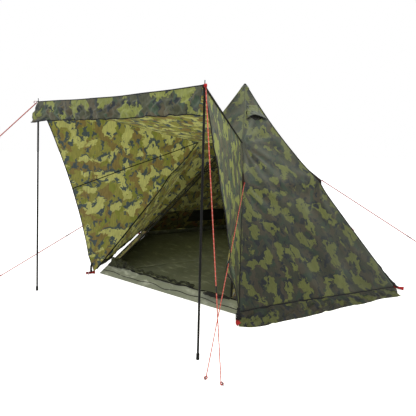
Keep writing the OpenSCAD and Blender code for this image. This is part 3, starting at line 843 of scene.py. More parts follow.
def mud_skirts():
    parts = []
    for i in range(1, SIDES):
        u, t = columns(SKIRT_COLS), rows_down(SKIRT_ROWS)
        uv = wall_uv(i, u, np.broadcast_to(-t * 0.07, (SKIRT_ROWS, SKIRT_COLS)))
        parts.append(sheet(f"skirt_{i}", skirt(i, u, t), uv, [SKIRT_OUTSIDE, INSIDE]))
    place(joined("mud_skirt_cloth", parts), "root", "fly_fabric", "mud_skirts")
    parts = []
    # A wide black tape just below the hem: a real hem tape, and painted shadow under the hem's overhang
    for i in range(1, SIDES):
        u = np.linspace(-1, 1, 90)
        path = wall(i, u, np.full(90, SKIRT_TOP_SHARE)) + face_normal(i) * 0.008
        path[:, 2] -= 0.010
        parts.append(sweep(f"hem_shadow_tape_{i}", path, flat_section(0.024, 0.008), BINDING, face_normal(i)))
    place(joined("hem_shadow_tapes", parts), "root", "binding")


# ---- Canopy ----

def canopy_tip(side):
    return np.array([side * TIP_X, FRONT[1], FRONT[2]])


# Sag of the canopy's front edge and of its middle
FRONT_SAG = 0.018
ROOF_SAG = 0.030
# Flat size of the roof panel, which lays out its folds and its print
FOLD_HALF = 0.31
ROOF_LEN = 1.64


def roof(u, t):
    """Canopy roof: u runs -1 to 1, t runs 0 at the fold to 1 at the front edge"""
    u, t = np.broadcast_arrays(u, t)
    left = mix(ridge(0, np.full(t.shape, FOLD_SHARE)), canopy_tip(-1), t[..., None])
    right = mix(ridge(1, np.full(t.shape, FOLD_SHARE)), canopy_tip(1), t[..., None])
    base = mix(left, right, ((u + 1) / 2)[..., None])
    drop = (1 - u**2) * (FRONT_SAG * t**2 + ROOF_SAG * np.sin(math.pi * t))
    x = u * mix(FOLD_HALF, TIP_X, t)
    y = t * ROOF_LEN
    inside = 1 - np.abs(u) ** 8
    drop = drop - 0.004 * crumple(x, y, 0.5, 201) * inside * (1 - 0.7 * t)
    drop = drop - 0.005 * crumple(x * 0.5, y, 0.13, 203) * inside * np.sin(math.pi * t)
    for s in (-1, 1):
        drop = drop - 0.009 * rays(x, y, s * TIP_X, ROOF_LEN, 10, 0.6, 205 + s) * inside
        drop = drop - 0.006 * rays(x, y, s * FOLD_HALF, 0, 8, 0.5, 208 + s) * inside
    return base - UP * drop[..., None]


def roof_uv(u, t):
    u, t = np.broadcast_arrays(u, t)
    return np.stack([u * mix(FOLD_HALF, TIP_X, t), -t * ROOF_LEN + 5.1], -1)


# Flat size of a wing, which lays out its folds
WING_LEN = 1.9
WING_REACH = 1.75
# Tension folds of a wing: height, centre, number, reach and seed
WING_RAYS = (
    (0.010, WING_REACH, 0, 12, 0.75, 309),
    (0.008, 0, 0, 10, 0.6, 313),
    (0.006, 0, WING_LEN, 9, 0.7, 317),
)
# Depth of the free edge's hollow, and the share of its length where that ends
WING_CURVE = 0.058
WING_CURVE_END = 0.93
WING_FOOT_Z = 0.12
# How far from the right wing's guyline the cloth is pushed in
CORD_NEAR = 0.085


def cord_ends(name):
    """Peg end and tent end of a ridge guyline, from its tensioner's place and travel"""
    joint = JOINT[f"tensioner_{name}_slide"]
    way = np.array(joint["axis"], float)
    middle = (low(f"tensioner_{name}") + high(f"tensioner_{name}")) / 2
    ground = middle - way * (middle[2] - 0.014) / way[2]
    top = middle + way * (PEAK_Z * TAB_SHARE - middle[2]) / way[2]
    return ground, top


def wing(side, s, t):
    """Side wing: s runs 0 on the ridge to 1 on the free edge, t runs 0 under the roof to 1 at the ground"""
    s, t = np.broadcast_arrays(s, t)
    i = 0 if side < 0 else 1
    share = FOLD_SHARE * (1 - t) + HEM_SHARE * t * 0.4
    edge = ridge(i, share)
    foot = direction(corner_azimuth(i)) * CORNER_R + UP * WING_FOOT_Z
    free = mix(np.broadcast_to(canopy_tip(side), edge.shape), foot, t[..., None])
    width = np.linalg.norm(free - edge, axis=-1)
    hollow = np.sin(math.pi * np.clip(t / WING_CURVE_END, 0, 1)) ** 0.75
    pull = WING_CURVE * hollow * s**2 / np.maximum(width, 0.15)
    point = mix(edge, free, (s * (1 - pull))[..., None])
    fold, tip, base = ridge(i, np.array(FOLD_SHARE)), canopy_tip(side), ridge(i, np.array(0.0))
    normal = unit(np.cross(tip - fold, base - fold)) * side
    normal = normal * np.sign(normal[0]) * side
    x = s * width
    y = t * WING_LEN
    inside = np.clip(s * 6, 0, 1) * (1 - t**8)
    edge_fade = 1 - 0.5 * s**6
    bow = -0.010 * np.sin(math.pi * s) * np.sin(math.pi * t)
    top_fade = np.clip(t * 8, 0, 1)
    bow = bow + 0.006 * crumple(x, y, 0.55, 301 + side) * inside * top_fade * edge_fade
    bow = bow + 0.0016 * crumple(x, y, 0.14, 305 + side) * inside * top_fade
    for height, cx, cy, folds, reach, seed in WING_RAYS:
        bow = bow + height * rays(x, y, cx, cy, folds, reach, seed + side) * inside * top_fade
    point = point + normal * bow[..., None]
    if side > 0:
        point = point + normal * cord_dent(point, normal)[..., None]
    return point


def cord_dent(point, normal):
    """How far the right wing is pushed in by the guyline that runs across it"""
    ground, top = cord_ends("front_right")
    way = unit(top - ground)
    along = np.clip((point - ground) @ way, 0, np.linalg.norm(top - ground))
    nearest = ground + along[..., None] * way
    gap = point - nearest
    depth = gap @ normal
    across = np.linalg.norm(gap - depth[..., None] * normal, axis=-1)
    push = np.clip(depth + 0.010, 0, None)
    return -push * np.exp(-((across / CORD_NEAR) ** 2))


def wing_uv(side, s, t):
    point = wing(side, s, t)
    return np.stack([side * point[..., 1] + 9.3, point[..., 2] + 2.2], -1)


def canopy_blend(obj):
    """Bakes the piece's transform into its mesh"""
    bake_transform(obj)


def canopy():
    u, t = columns(81), rows_down(71)
    obj = sheet("canopy_cloth", roof(u, t), roof_uv(u, t), [OUTSIDE, INSIDE])
    canopy_blend(label(obj, "fly_fabric", "canopy_roof"))
    for side, name in SIDE_NAMES:
        s, t = np.linspace(0, 1, 71)[None], rows_down(91)
        if side > 0:
            s = s[:, ::-1]
        obj = sheet(f"wing_cloth_{name}", wing(side, s, t), wing_uv(side, s, t), [WING_OUTSIDE, INSIDE])
        canopy_blend(label(obj, "fly_fabric", f"canopy_wing_{name}"))


# Where the dark seam across a wing meets its free edge: 0 at the roof, 1 at the ground
SEAM_END = 0.48


def canopy_bindings():
    parts = []
    t = np.linspace(0, 1, 80)
    for side in (-1, 1):
        path = roof(np.full(80, float(side)), t) + UP * 0.001
        parts.append(sweep(f"roof_edge_{side}", path, flat_section(0.026, 0.008), BINDING))
        path = wing(side, np.ones(100), np.linspace(0, 1, 100))
        out = np.array([side, 0, 0.0])
        parts.append(sweep(f"wing_edge_{side}", path, flat_section(0.012, 0.005), BINDING, out))
        k = np.linspace(0, 1, 60)
        path = wing(side, k * (1 - SEAM_END) / (1 - k * SEAM_END), k * SEAM_END)
        path = path - np.array([0.007 * max(side, 0), 0, 0])
        parts.append(sweep(f"wing_seam_{side}", path, flat_section(0.010, 0.009), BINDING, out))
    u = np.linspace(-1, 1, 80)
    path = roof(u, np.ones(80)) + np.array([0, -0.001, 0.001])
    parts.append(sweep("front_edge", path, flat_section(0.014, 0.008), BINDING))
    canopy_blend(label(joined("canopy_binding", parts), "binding"))


def valance():
    """A loose flap that hangs from the front edge, longer at its two ends"""
    u, t = columns(161), rows_down(21)
    top = roof(u, np.ones_like(u))
    uu, tt = np.broadcast_arrays(u, t)
    top = np.broadcast_to(top, uu.shape + (3,))
    x = uu * TIP_X
    ends = smooth((np.abs(uu) - 0.86) / 0.14)
    depth = (VALANCE_H - 0.012 + 0.016 * ends - 0.4 * FRONT_SAG * (1 - uu**2)) * tt
    flare = ends * tt * np.where(uu < 0, -0.098, 0.012)
    ahead = ends * (0.010 * np.clip(tt * 6, 0, 1) + 0.022 * tt)
    fold = 0.012 * crumple(x, tt * 0.10, 0.16, 401) * tt
    fold = fold + 0.006 * crumple(x, tt * 0.2, 0.07, 402) * smooth(tt * 2)
    fold = fold + 0.005 * crumple(x + 0.5 * depth, depth * 1.6, 0.09, 404) * smooth(tt * 3)
    fold = fold + 0.004 * np.sin(math.tau * x / 0.09 + 2 * np.sin(x * 5)) * tt
    points = top + np.stack([flare, -0.006 - ahead - np.abs(fold) * 0.2 - fold, -depth], -1)
    points[..., 2] += 0.003 * crumple(x, tt * 0, 0.12, 403) * tt
    uv = np.stack([x + 21.0, -depth + 4.4], -1)
    obj = sheet("valance_cloth", points, uv, [LOOSE_OUTSIDE, INSIDE])
    place(obj, "valance", "fly_fabric", "canopy_valance")
    path = points[0] + np.array([0, -0.0008, 0])
    obj = sweep("valance_hem", path, flat_section(0.008, 0.004), BINDING, np.array([0, -1.0, 0]))
    place(obj, "valance", "binding")


# Where the canopy pole spikes stand, to each side
SPIKE_X = 0.938


def canopy_corners():
    """A webbing tab with a black ring round each pole spike, and a red loop beside it"""
    for side, name in SIDE_NAMES:
        a = np.linspace(0.6, math.tau - 0.6, 30) - math.pi / 2
        ring = np.stack([np.cos(a) * 0.011, np.sin(a) * 0.011, np.full(30, 0.004)], -1)
        spike = np.array([side * SPIKE_X, FRONT[1] + 0.002, FRONT[2]])
        parts = [sweep(f"eyelet_{name}", spike + ring, round_section(0.0032), BLACK_WEB)]
        inward = unit(np.array([-side * 0.55, 0.83, 0]))
        t = np.linspace(0, 1, 16)[:, None]
        strap = spike + inward * (0.012 + 0.085 * t) + UP * (0.005 - 0.002 * t)
        strap = strap - UP * (0.06 * t**2) * 0.25
        parts.append(sweep(f"strap_{name}", strap, flat_section(0.024, 0.0035), BLACK_WEB))
        a = circle(28)
        out = unit(np.array([side, -1.0, 0]))
        loop = spike + out * (0.012 + 0.013 * (1 - np.cos(a)))[:, None]
        loop = loop + UP * (np.sin(a) * 0.010 - 0.004)[:, None]
        parts.append(sweep(f"red_loop_{name}", loop, flat_section(0.018, 0.003), RED_WEB,
                           unit(loop - loop.mean(0)), closed=True))
        nodes = ["canopy_corner_tabs"] if side < 0 else []
        place(joined(f"corner_webbing_{name}", parts), "canopy", "webbing", *nodes)


# ---- Vent ----


def vent_blend(obj):
    """Bakes the piece's transform into its mesh"""
    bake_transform(obj)


def vent():
    top_y, normal = vent_top(), face_normal(RIGHT_FRONT)
    u, t = columns(49), rows_down(25)
    uu, tt = np.broadcast_arrays(u, t)
    half = VENT_HALF * mix(0.55, 1.0, smooth(tt))
    arch = 0.050 * (1 - uu**2) * tt
    x = uu * half
    y = top_y - tt * VENT_LEN + arch
    share = y / FACE_LEN
    u = x / face_half(share)
    lift = 0.005 + (0.016 + (1 - uu**2) * 0.022) * tt**1.5 + 0.0015 * crumple(x, y, 0.06, 501)
    points = wall(RIGHT_FRONT, u, share) + normal * lift[..., None]
    # The hood's underside takes the dark bundled-mesh material: painted shade under the hood
    obj = sheet("vent_hood_cloth", points, wall_uv(RIGHT_FRONT, u, share) + 0.4, [OUTSIDE, BUNDLE])
    vent_blend(label(obj, "fly_fabric", "vent_hood"))
    lip = sweep("vent_lip", points[0] + normal * 0.0005, flat_section(0.009, 0.005), BINDING, normal)
    vent_blend(label(lip, "binding", "vent_stiffener"))
    rows, cols = 20, 48
    a = np.linspace(0, math.tau, cols + 1)[None]
    r = np.linspace(0.05, 1.12, rows)[:, None]
    aa, rr = np.broadcast_arrays(a, r)
    x = VENT_HOLE[0] * rr * np.cos(aa)
    y = top_y - VENT_HOLE_DOWN + VENT_HOLE[1] * rr * np.sin(aa)
    share = y / FACE_LEN
    points = wall(RIGHT_FRONT, x / face_half(share), share) + normal * 0.001
    points = points[::-1]
    obj = sheet("vent_mesh_cloth", points, np.stack([x, y], -1)[::-1], [VENT_NET], thickness=0.0006,
                two_sided=False)
    place(obj, "root", "mesh", "vent_mesh")


# ---- Webbing at the hem and ridges ----

def corner_webbing():
    """At each hem corner: a gathered black strap with a ladder buckle, and a red loop round the peg"""
    black, red = [], []
    for i in range(SIDES):
        out = direction(corner_azimuth(i))
        across = np.cross(out, UP)
        if i in (FRONT_LEFT, FRONT_RIGHT):
            start = out * (CORNER_R - 0.004) + UP * (WING_FOOT_Z + 0.012)
        else:
            lift = 0.055 * (1 - HEM_DROP[i])
            start = ridge(i, np.array(HEM_SHARE * (1 - HEM_DROP[i]))) + UP * (lift + 0.008) - out * 0.020
        end = out * (CORNER_R + 0.004) + UP * 0.022
        t = np.linspace(0, 1, 14)[:, None]
        strap = mix(start, end, t) + out * 0.006 * np.sin(math.pi * t)
        gather = 1 + 0.16 * np.sin(26 * t)[..., None]
        black.append(sweep(f"strap_{i}", strap, flat_section(0.028, 0.019) * gather, BLACK_WEB,
                           out + UP * 0.2))
        for k in (0.42, 0.62, 0.84):
            bar = mix(start, end, k) + out * 0.011 + across * np.linspace(-0.022, 0.022, 8)[:, None]
            black.append(sweep(f"bar_{i}_{k}", bar, round_section(0.0055, 10), PLASTIC))
        for lean in (-1, 1):
            rail = mix(start, end, mix(0.40, 0.86, t)) + out * 0.011 + across * lean * 0.020
            black.append(sweep(f"rail_{i}_{lean}", rail, round_section(0.004, 8), PLASTIC))
        a = circle(32)
        centre = out * (CORNER_R + 0.014) + UP * 0.022
        loop = centre + out * (0.046 * np.cos(a))[:, None] + UP * (0.006 * np.sin(a))[:, None]
        loop = loop + across * (0.006 * np.sin(2 * a))[:, None]
        red.append(sweep(f"loop_{i}", loop, flat_section(0.036, 0.007), RED_WEB, unit(loop - centre),
                         closed=True))
    place(joined("hem_buckles", black), "root", "binding")
    place(joined("hem_loops", red), "root", "webbing", "corner_loops")


def guy_tabs():
    """A triangle of cloth on each ridge that takes the guyline, with a small red loop"""
    cloth, loops = [], []
    for i in range(SIDES):
        _, tip = cord_ends(RIDGE_NAMES[i])
        shares = np.linspace(TAB_SHARE + 0.055, TAB_SHARE - 0.026, 22)
        on_ridge = ridge(i, shares)
        t = np.linspace(0, 1, 12)[:, None]
        k = np.linspace(0, 1, 22)
        sag = np.sin(math.pi * k) * 0.006
        points = mix(on_ridge[None], tip[None, None], t[..., None] * 0.97)
        side = np.cross(direction(corner_azimuth(i)), UP)
        points = points + side * (sag[None] * (1 - t) * 0.5)[..., None]
        uv = points[..., [0, 2]]
        for lean in (-1, 1):
            base = points + side * lean * (0.0065 * (1 - t))[..., None]
            cloth.append(sheet(f"tab_{i}_{lean}", base, uv, [TAB_CLOTH], thickness=0.0016, two_sided=False))
        a = circle(24)
        ground, _ = cord_ends(RIDGE_NAMES[i])
        way = unit(ground - tip)
        loop = tip + way * (0.004 + 0.011 * (1 - np.cos(a)))[:, None] + side * (0.006 * np.sin(a))[:, None]
        loops.append(sweep(f"tab_loop_{i}", loop, flat_section(0.010, 0.0025), RED_WEB,
                           unit(loop - loop.mean(0)), closed=True))
    place(joined("guy_tab_cloth", cloth), "root", "binding", "guy_tabs")
    place(joined("guy_tab_loops", loops), "root", "webbing")


# ---- Inner tent ----

# How far each inner wall hangs in, each inner corner is pulled out, and every inner ridge sags
INNER_SAG = [0.012, 0.03, 0.03, 0.03, 0.03, 0.03]
CORNER_PULL = [0.055, 0, 0, 0, 0, 0]
RIDGE_SLACK = 0.035
# Top of the solid band, top of the walls, and rows of points up the band
BAND_Z = 0.45
INNER_TOP_Z = INNER_Z * 0.955
BAND_ROWS = 14


def inner_ridge(i, z):
    """Points on inner ridge i at height z; the ridge hangs a little slack"""
    share = np.asarray(z, float)[..., None] / INNER_Z
    out = direction(corner_azimuth(i % SIDES))
    slack = RIDGE_SLACK * np.sin(math.pi * np.clip(share, 0, 1))
    reach = INNER_R + CORNER_PULL[i % SIDES]
    return out * (reach * (1 - share) - slack) + UP * share * INNER_Z


def inner_flat(i, u, z):
    """Points between inner ridges i and i + 1 with no sag: u runs -1 to 1 between them"""
    return mix(inner_ridge(i, z), inner_ridge(i + 1, z), ((u + 1) / 2)[..., None])


def inner_half(z):
    """Half the flat width of an inner wall at height z"""
    return INNER_R / 2 * (1 - z / INNER_Z)


def inner_wall(i, u, z):
    u, z = np.broadcast_arrays(u, z)
    base = inner_flat(i, u, z)
    half = inner_half(z)
    share = np.clip((z - RIM_Z) / (INNER_Z - RIM_Z), 0, 1)
    dent = INNER_SAG[i] * (1 - u**2) * np.sin(math.pi * share)
    inside = 1 - np.abs(u) ** 6
    dent = dent + 0.006 * crumple(u * half, z * 1.3, 0.35, 600 + i) * inside * smooth(share * 6)
    inward = -direction(face_azimuth(i))
    return base + inward * dent[..., None]


def inner_uv(i, u, z):
    u, z = np.broadcast_arrays(u, z)
    return np.stack([u * INNER_R / 2 * (1 - z / INNER_Z) + 2.9 * i, z * 1.34 + 0.7 * i], -1)


def inner_heights(net_rows):
    """Heights of a wall's rows of points, with one row on the edge between band and net"""
    band = np.linspace(RIM_Z, BAND_Z, BAND_ROWS)
    net = np.linspace(BAND_Z, INNER_TOP_Z, net_rows)
    return np.concatenate([band, net[1:]])[:, None]


# The dark panel on the far wall's band: the height its width is measured at, its two ends, its foot
POCKET_Z = 0.3
POCKET_LEFT, POCKET_RIGHT = -0.40, 0.24
POCKET_FIRST_ROW = 5


def inner_walls():
    for i in range(1, SIDES):
        u = columns(49)
        z = inner_heights(42)
        finish = np.ones((len(z) - 1, 48), int)
        finish[:BAND_ROWS - 1] = 0
        if i == LEFT_BACK:
            x = (u[:, 1:] + u[:, :-1]) / 2 * INNER_R / 2 * (1 - POCKET_Z / INNER_Z)
            pocket = (x[0] > POCKET_LEFT) & (x[0] < POCKET_RIGHT)
            finish[POCKET_FIRST_ROW:BAND_ROWS - 1, pocket] = 2
        obj = sheet(f"mesh_wall_{FACE_NAMES[i]}", inner_wall(i, u, z), inner_uv(i, u, z),
                    [BAND, NET, BUNDLE], thickness=0.0006, rows_finish=finish, two_sided=False)
        place(obj, "root", "mesh", f"inner_wall_{FACE_NAMES[i]}")
    parts = []
    for i in range(SIDES):
        z = np.linspace(RIM_Z, INNER_TOP_Z, 60)
        out = direction(corner_azimuth(i))
        width = 0.020 if i == FRONT_LEFT else 0.016
        parts.append(sweep(f"inner_seam_{i}", inner_ridge(i, z), flat_section(width, 0.004), BINDING,
                           out + UP * 0.6))
    for i in range(1, SIDES):
        u = np.linspace(-1, 1, 50)
        path = inner_wall(i, u, np.full(50, BAND_Z)) - direction(face_azimuth(i)) * 0.002
        parts.append(sweep(f"band_edge_{i}", path, flat_section(0.010, 0.004), BINDING, UP))
    place(joined("inner_bindings", parts), "root", "binding")


# Half width of the door just under its rounded top, and the height of that rounding
DOOR_TOP_HALF = 0.20
DOOR_ROUND = 0.10


def door_half(z):
    """Half width of the door opening at height z, from its CAD zip"""
    bottom = low("inner_door_zip")[2]
    top = high("inner_door_zip")[2]
    half = high("inner_door_zip")[0] - 0.014
    straight = half - (half - DOOR_TOP_HALF) * (z - bottom) / (top - bottom)
    rounding = np.clip((z - (top - DOOR_ROUND)) / DOOR_ROUND, 0, 1)
    return straight * np.sqrt(np.clip(1 - rounding**2, 0, 1))


def inner_front():
    """The narrow mesh frame left round the open door"""
    z = inner_heights(56)
    finish = np.ones((len(z) - 1, 8), int)
    finish[:BAND_ROWS - 1] = 0
    parts = []
    half = inner_half(z)
    door = door_half(z)
    for side in (-1, 1):
        k = np.linspace(0, 1, 9)[None]
        x = mix(door, half, k) * side
        if side < 0:
            x = x[:, ::-1]
        u = x / half
        parts.append(sheet(f"door_frame_{side}", inner_wall(0, u, z), inner_uv(0, u, z), [BAND, NET],
                           thickness=0.0006, rows_finish=finish, two_sided=False))
    place(joined("door_frame_mesh", parts), "root", "mesh", "inner_front_frame")


def inner_zip():
    z = np.linspace(RIM_Z + 0.012, high("inner_door_zip")[2], 120)
    half = inner_half(z)
    right = inner_wall(0, door_half(z) / half, z)
    left = inner_wall(0, -door_half(z) / half, z)
    out = direction(face_azimuth(0))
    path = np.concatenate([left, right[::-1][1:]]) + out * 0.002
    tape = sweep("door_zip_tape", path, flat_section(0.020, 0.003), BINDING, out + UP * 0.8)
    teeth = sweep("door_zip_teeth", path + out * 0.003, flat_section(0.006, 0.004), PLASTIC, out + UP * 0.8)
    place(joined("door_zip", [tape, teeth]), "root", "binding", "inner_door_zip")


def floor_cloth():
    rings, cols = 46, 25
    u = np.linspace(-1, 1, cols)[:-1]
    edge = np.concatenate([inner_flat(i, u, np.full(cols - 1, FLOOR_TOP)) for i in range(SIDES)])
    edge = np.concatenate([edge, edge[:1]])
    r = np.linspace(0.997, 0.006, rings)[:, None]
    x, y = r * edge[None, :, 0], r * edge[None, :, 1]
    rest = smooth((np.hypot(x, y) - 0.04) / 0.12) * smooth((1 - r) * 14)
    z = FLOOR_TOP + rest * (0.008 + 0.005 * crumple(x, y, 0.55, 701) + 0.004 * crumple(x, y, 0.16, 702))
    z = np.maximum(z, FLOOR_TOP)
    points = np.stack([x, y, z], -1)
    obj = sheet("floor_cloth", points, np.stack([x, y], -1), [FLOOR], thickness=0.002, two_sided=False)
    place(obj, "root", "floor_fabric", "groundsheet")


def tub_rim():
    """The floor's upturned edge, puckered along its fold"""
    cols, rows = 60, 11
    parts = []
    for i in range(SIDES):
        u = columns(cols + 1)
        t = np.linspace(0, 1, rows)[:, None]
        uu, tt = np.broadcast_arrays(u, t)
        z = FLOOR_TOP + tt * (RIM_Z - FLOOR_TOP)
        base = inner_flat(i, uu, z)
        x = uu * INNER_R / 2
        fold = 0.007 * crumple(x, tt * 0.08, 0.13, 720 + i) * np.sin(math.pi * tt) * (1 - np.abs(uu) ** 10)
        points = base + direction(face_azimuth(i)) * fold[..., None]
        points[..., 2] += 0.006 * crumple(x, tt * 0, 0.3, 740 + i) * tt * (1 - np.abs(uu) ** 10)
        parts.append(sheet(f"rim_{i}", points, np.stack([x, z], -1), [RIM, FLOOR], thickness=0.002))
    place(joined("tub_rim_cloth", parts), "root", "floor_fabric", "tub_rim")
    parts = []
    u = np.linspace(-1, 1, 120)
    z = np.full(120, RIM_Z) + 0.006 * crumple(u * INNER_R / 2, u * 0, 0.3, 740) * (1 - np.abs(u) ** 10)
    path = inner_flat(0, u, z)
    lumps = 1 + 0.5 * crumple(u * INNER_R / 2, u * 0, 0.10, 760)[:, None, None]
    threshold = sweep("threshold_binding", path, flat_section(0.014, 0.009) * np.abs(lumps), BINDING)
    # A thin black line across the rim's front: painted shade in its crease
    z = np.full(120, mix(FLOOR_TOP, RIM_Z, 0.42)) + 0.008 * crumple(u * INNER_R / 2, u * 0, 0.4, 745)
    out = direction(face_azimuth(0))
    path = inner_flat(0, u, z) + out * 0.006
    crease = sweep("threshold_crease_shadow", path, flat_section(0.006, 0.003), BINDING, out)
    place(joined("threshold_lines", [threshold, crease]), "root", "binding")


# How far the bundled door stands above and in front of its CAD place, towards its right end
BUNDLE_RISE = 0.080
BUNDLE_FORWARD = 0.110
# Ends of the ruffled hem, as shares of the threshold's half width
GATHER_FROM, GATHER_TO = -0.93, 0.42


def door_gather():
    """The open door's lower hem, ruffled along the threshold and thickest at the left"""
    count = 150
    t = np.linspace(0, 1, count)
    u = mix(GATHER_FROM, GATHER_TO, t)
    z = np.full(count, RIM_Z)
    path = inner_flat(0, u, z)
    x = u * INNER_R / 2
    path = path - direction(face_azimuth(0)) * (0.022 + 0.008 * crumple(x, x * 0, 0.16, 781))[:, None]
    path = path + UP * (0.012 + 0.026 * (1 - t) ** 2 + 0.008 * crumple(x, x * 0, 0.12, 782))[:, None]
    a = circle(26)[None]
    size = (0.010 + 0.042 * (1 - smooth(t / 0.35)) + 0.008 * smooth((t - 0.85) / 0.15))
    size = size * np.clip(np.minimum(t, 1 - t) * 30, 0.05, 1)
    lumps = 1 + 0.34 * crumple(x[:, None] + 0 * a, a * 0.03, 0.055, 783)
    lumps = lumps + 0.20 * np.sin(5 * a + 70 * t[:, None])
    radius = size[:, None] * np.clip(lumps, 0.35, 1.8)
    section = np.stack([np.cos(a) * radius, np.sin(a) * radius], -1)
    place(sweep("door_gather", path, section, GATHER), "root", "mesh")


def door_bundle():
    """The door panel pushed down into a crumpled roll behind the threshold"""
    box_low, box_high = low("inner_door_roll"), high("inner_door_roll")
    count = 110
    t = np.linspace(0, 1, count)
    x = mix(box_low[0], box_high[0], t)
    middle = (box_low + box_high) / 2
    rise = BUNDLE_RISE * smooth(t * 1.6)
    ahead = BUNDLE_FORWARD * smooth(t * 1.6)
    y = middle[1] - ahead + 0.010 * np.sin(t * 9)
    z = middle[2] + rise + 0.004 * np.sin(t * 14 + 1)
    path = np.stack([x, y, z], -1)
    a = circle(28)[None]
    tt = t[:, None]
    taper = np.sqrt(np.clip(np.sin(math.pi * np.clip(tt * 0.94 + 0.03, 0, 1)), 0, 1))
    radius = (box_high[2] - box_low[2]) / 2 * (0.45 + 0.55 * tt) * taper
    radius = radius * (1 + 0.22 * np.sin(3 * a + 16 * tt) + 0.12 * np.sin(7 * a - 21 * tt))
    section = np.stack([np.cos(a) * radius * 1.1, np.sin(a) * radius * 0.85], -1)
    place(sweep("door_bundle", path, section, BUNDLE), "root", "mesh", "inner_door_roll")


# ---- Guylines ----

# Radius of a cord as drawn, and of the two that run nearest to the eye
CORD_R = 0.0045
NEAR_CORD_R = 0.0034
NEAR_CORDS = ("front_right", "canopy_right")
# A direction that no cord runs along, to turn its strands from
CORD_UP = np.array([0.3, 0.2, 1.0])


def twisted(path, radius, points=12):
    """Sections that bulge with the strands of a braid"""
    length = length_along(path)
    a = circle(points)[None]
    bulge = 1 + 0.10 * np.sin(3 * a + length[:, None] * math.tau / 0.03)
    return np.stack([np.cos(a) * bulge, np.sin(a) * bulge], -1) * radius


def straight(a, b, count=160):
    return mix(a, b, np.linspace(0, 1, count)[:, None])


def peg_loop(ground, top, name):
    """The cord's end: a loop round the peg"""
    flat = unit(np.array([ground[0] - top[0], ground[1] - top[1], 0]))
    across = np.cross(flat, UP)
    a = circle(30)
    loop = ground + flat * (0.012 - 0.012 * np.cos(a))[:, None] + across * (0.009 * np.sin(a))[:, None]
    return sweep(name, loop, round_section(CORD_R * 0.9), CORD, closed=True)


def guylines():
    parts = []
    for i, name in enumerate(RIDGE_NAMES):
        ground, top = cord_ends(name)
        start = top + unit(ground - top) * 0.020
        path = straight(ground, start)
        radius = NEAR_CORD_R if name in NEAR_CORDS else CORD_R
        finish = CORD if name == "front_right" else DULL_CORD
        parts.append(sweep(f"cord_{i}", path, twisted(path, radius), finish, CORD_UP))
        parts.append(peg_loop(ground, top, f"peg_loop_{i}"))
    for side, name in SIDE_NAMES:
        ground = joint_point(f"canopy_guy_{name}_swing")
        parts.append(peg_loop(ground, canopy_tip(side), f"guy_peg_loop_{name}"))
    place(joined("ridge_cords", parts), "root", "cord", "ridge_guylines")
    for side, name in SIDE_NAMES:
        ground = joint_point(f"canopy_guy_{name}_swing")
        corners = low(f"canopy_guy_{name}"), high(f"canopy_guy_{name}")
        top = np.where(np.abs(corners[0] - ground) > np.abs(corners[1] - ground), corners[0], corners[1])
        path = straight(ground, top)
        radius = NEAR_CORD_R if f"canopy_{name}" in NEAR_CORDS else CORD_R
        finish = CORD if side > 0 else DULL_CORD
        cord = sweep(f"canopy_cord_{name}", path, twisted(path, radius), finish, CORD_UP)
        place(cord, f"guy_{name}", "cord", f"canopy_guy_{name}")


# ---- CAD nodes that stay: their finishes ----

def finish_cad():
    finishes = {
        "inner_peak_ring": PLASTIC, "inner_zip_slider": STEEL, "lantern_hook": STEEL,
        "hem_pegs": STEEL, "guy_pegs": STEEL, "centre_pole_foot": RUBBER, "centre_pole_cap": RUBBER,
        "pole_left_foot": RUBBER, "pole_right_foot": RUBBER,
    }
    for pole in ("centre_pole", "pole_left", "pole_right"):
        for part in ("lower", "middle", "upper"):
            finishes[f"{pole}_{part}"] = POLE
    for name in RIDGE_NAMES + ["canopy_left", "canopy_right"]:
        finishes[f"tensioner_{name}"] = PLASTIC
    for node_name, finish in finishes.items():
        obj = frame["nodes"][node_name]
        obj.data.materials.clear()
        obj.data.materials.append(finish)


# ---- Stage ----

SKY_STRENGTH = 0.62
FLOOR_GLOW = 0.85
FLOOR_HALF = 60.0
# Power, size, place and aim of each area lamp
LAMPS = {
    "key": (90, 2.5, (3.2, -2.6, 4.6), (0.4, -0.4, 1.6)),
    "fill": (60, 4.0, (-1.5, -7.0, 4.0), (0, 0, 0.8)),
}
EYE = (2.323, -4.071, 1.422)
EYE_YAW, EYE_PITCH, EYE_ROLL = -34.95, 9.54, 1.03
SENSOR_WIDTH = 36
LENS = 31.5


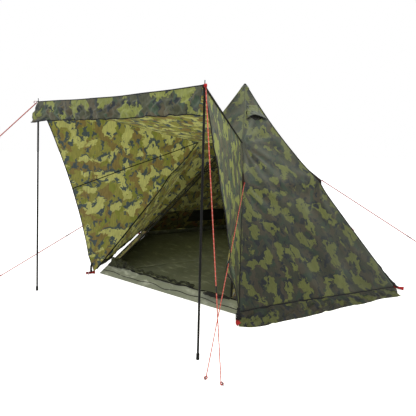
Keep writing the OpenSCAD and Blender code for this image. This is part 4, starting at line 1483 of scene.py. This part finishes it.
def stage():
    material, tree = new_material("pale_floor")
    vector = object_vector(tree)
    tone = mixed(tree, noise_of(tree, vector, 0.4, 2.0), srgb(248, 248, 248), srgb(253, 253, 253))
    surface = surface_of(tree, tone, 1.0, Specular_IOR_Level=0.0)
    seen = add(tree, "ShaderNodeLightPath").outputs["Is Camera Ray"]
    glow = product(tree, seen, FLOOR_GLOW)
    light = add(tree, "ShaderNodeEmission", {"Color": (1, 1, 1, 1), "Strength": glow})
    both = add(tree, "ShaderNodeAddShader", {0: surface, 1: light.outputs["Emission"]})
    finish_with(tree, both.outputs["Shader"])
    mesh = bpy.data.meshes.new("studio_floor")
    corners = [(x * FLOOR_HALF, y * FLOOR_HALF, 0) for x, y in ((-1, -1), (1, -1), (1, 1), (-1, 1))]
    mesh.from_pydata(corners, [], [(0, 1, 2, 3)])
    mesh.materials.append(material)
    floor = bpy.data.objects.new("studio_floor", mesh)
    bpy.context.scene.collection.objects.link(floor)

    world = bpy.data.worlds.new("studio")
    world.use_nodes = True
    tree = world.node_tree
    seen = add(tree, "ShaderNodeLightPath").outputs["Is Camera Ray"]
    strength = ranged(tree, seen, SKY_STRENGTH, 1.0)
    tree.links.new(strength, tree.nodes["Background"].inputs["Strength"])
    tree.nodes["Background"].inputs["Color"].default_value = (1, 1, 1, 1)
    bpy.context.scene.world = world
    for name, settings in LAMPS.items():
        area_lamp(name, *settings)


def area_lamp(name, power, size, place_at, aim):
    lamp = bpy.data.lights.new(name, "AREA")
    lamp.energy = power
    lamp.size = size
    obj = bpy.data.objects.new(name, lamp)
    obj.location = place_at
    obj.rotation_euler = (Vector(aim) - obj.location).to_track_quat("-Z", "Y").to_euler()
    bpy.context.scene.collection.objects.link(obj)


def camera():
    yaw, pitch, roll = (math.radians(angle) for angle in (EYE_YAW, EYE_PITCH, EYE_ROLL))
    ahead = np.array([math.sin(yaw) * math.cos(pitch), math.cos(yaw) * math.cos(pitch), -math.sin(pitch)])
    right = np.array([math.cos(yaw), -math.sin(yaw), 0])
    up = np.cross(right, ahead)
    right, up = right * math.cos(roll) + up * math.sin(roll), up * math.cos(roll) - right * math.sin(roll)
    data = bpy.data.cameras.new("camera")
    data.sensor_width = SENSOR_WIDTH
    data.lens = LENS
    eye = bpy.data.objects.new("camera", data)
    turn = Matrix([list(row) for row in np.stack([right, up, -ahead], -1)]).to_4x4()
    eye.matrix_world = Matrix.Translation(EYE) @ turn
    bpy.context.scene.collection.objects.link(eye)
    bpy.context.scene.camera = eye
    bpy.context.scene.view_settings.view_transform = "Standard"


fly_walls()
fly_cap()
ridge_bindings()
mud_skirts()
canopy()
canopy_bindings()
valance()
canopy_corners()
vent()
corner_webbing()
guy_tabs()
inner_walls()
inner_front()
inner_zip()
floor_cloth()
tub_rim()
door_gather()
door_bundle()
guylines()
finish_cad()
stage()
camera()
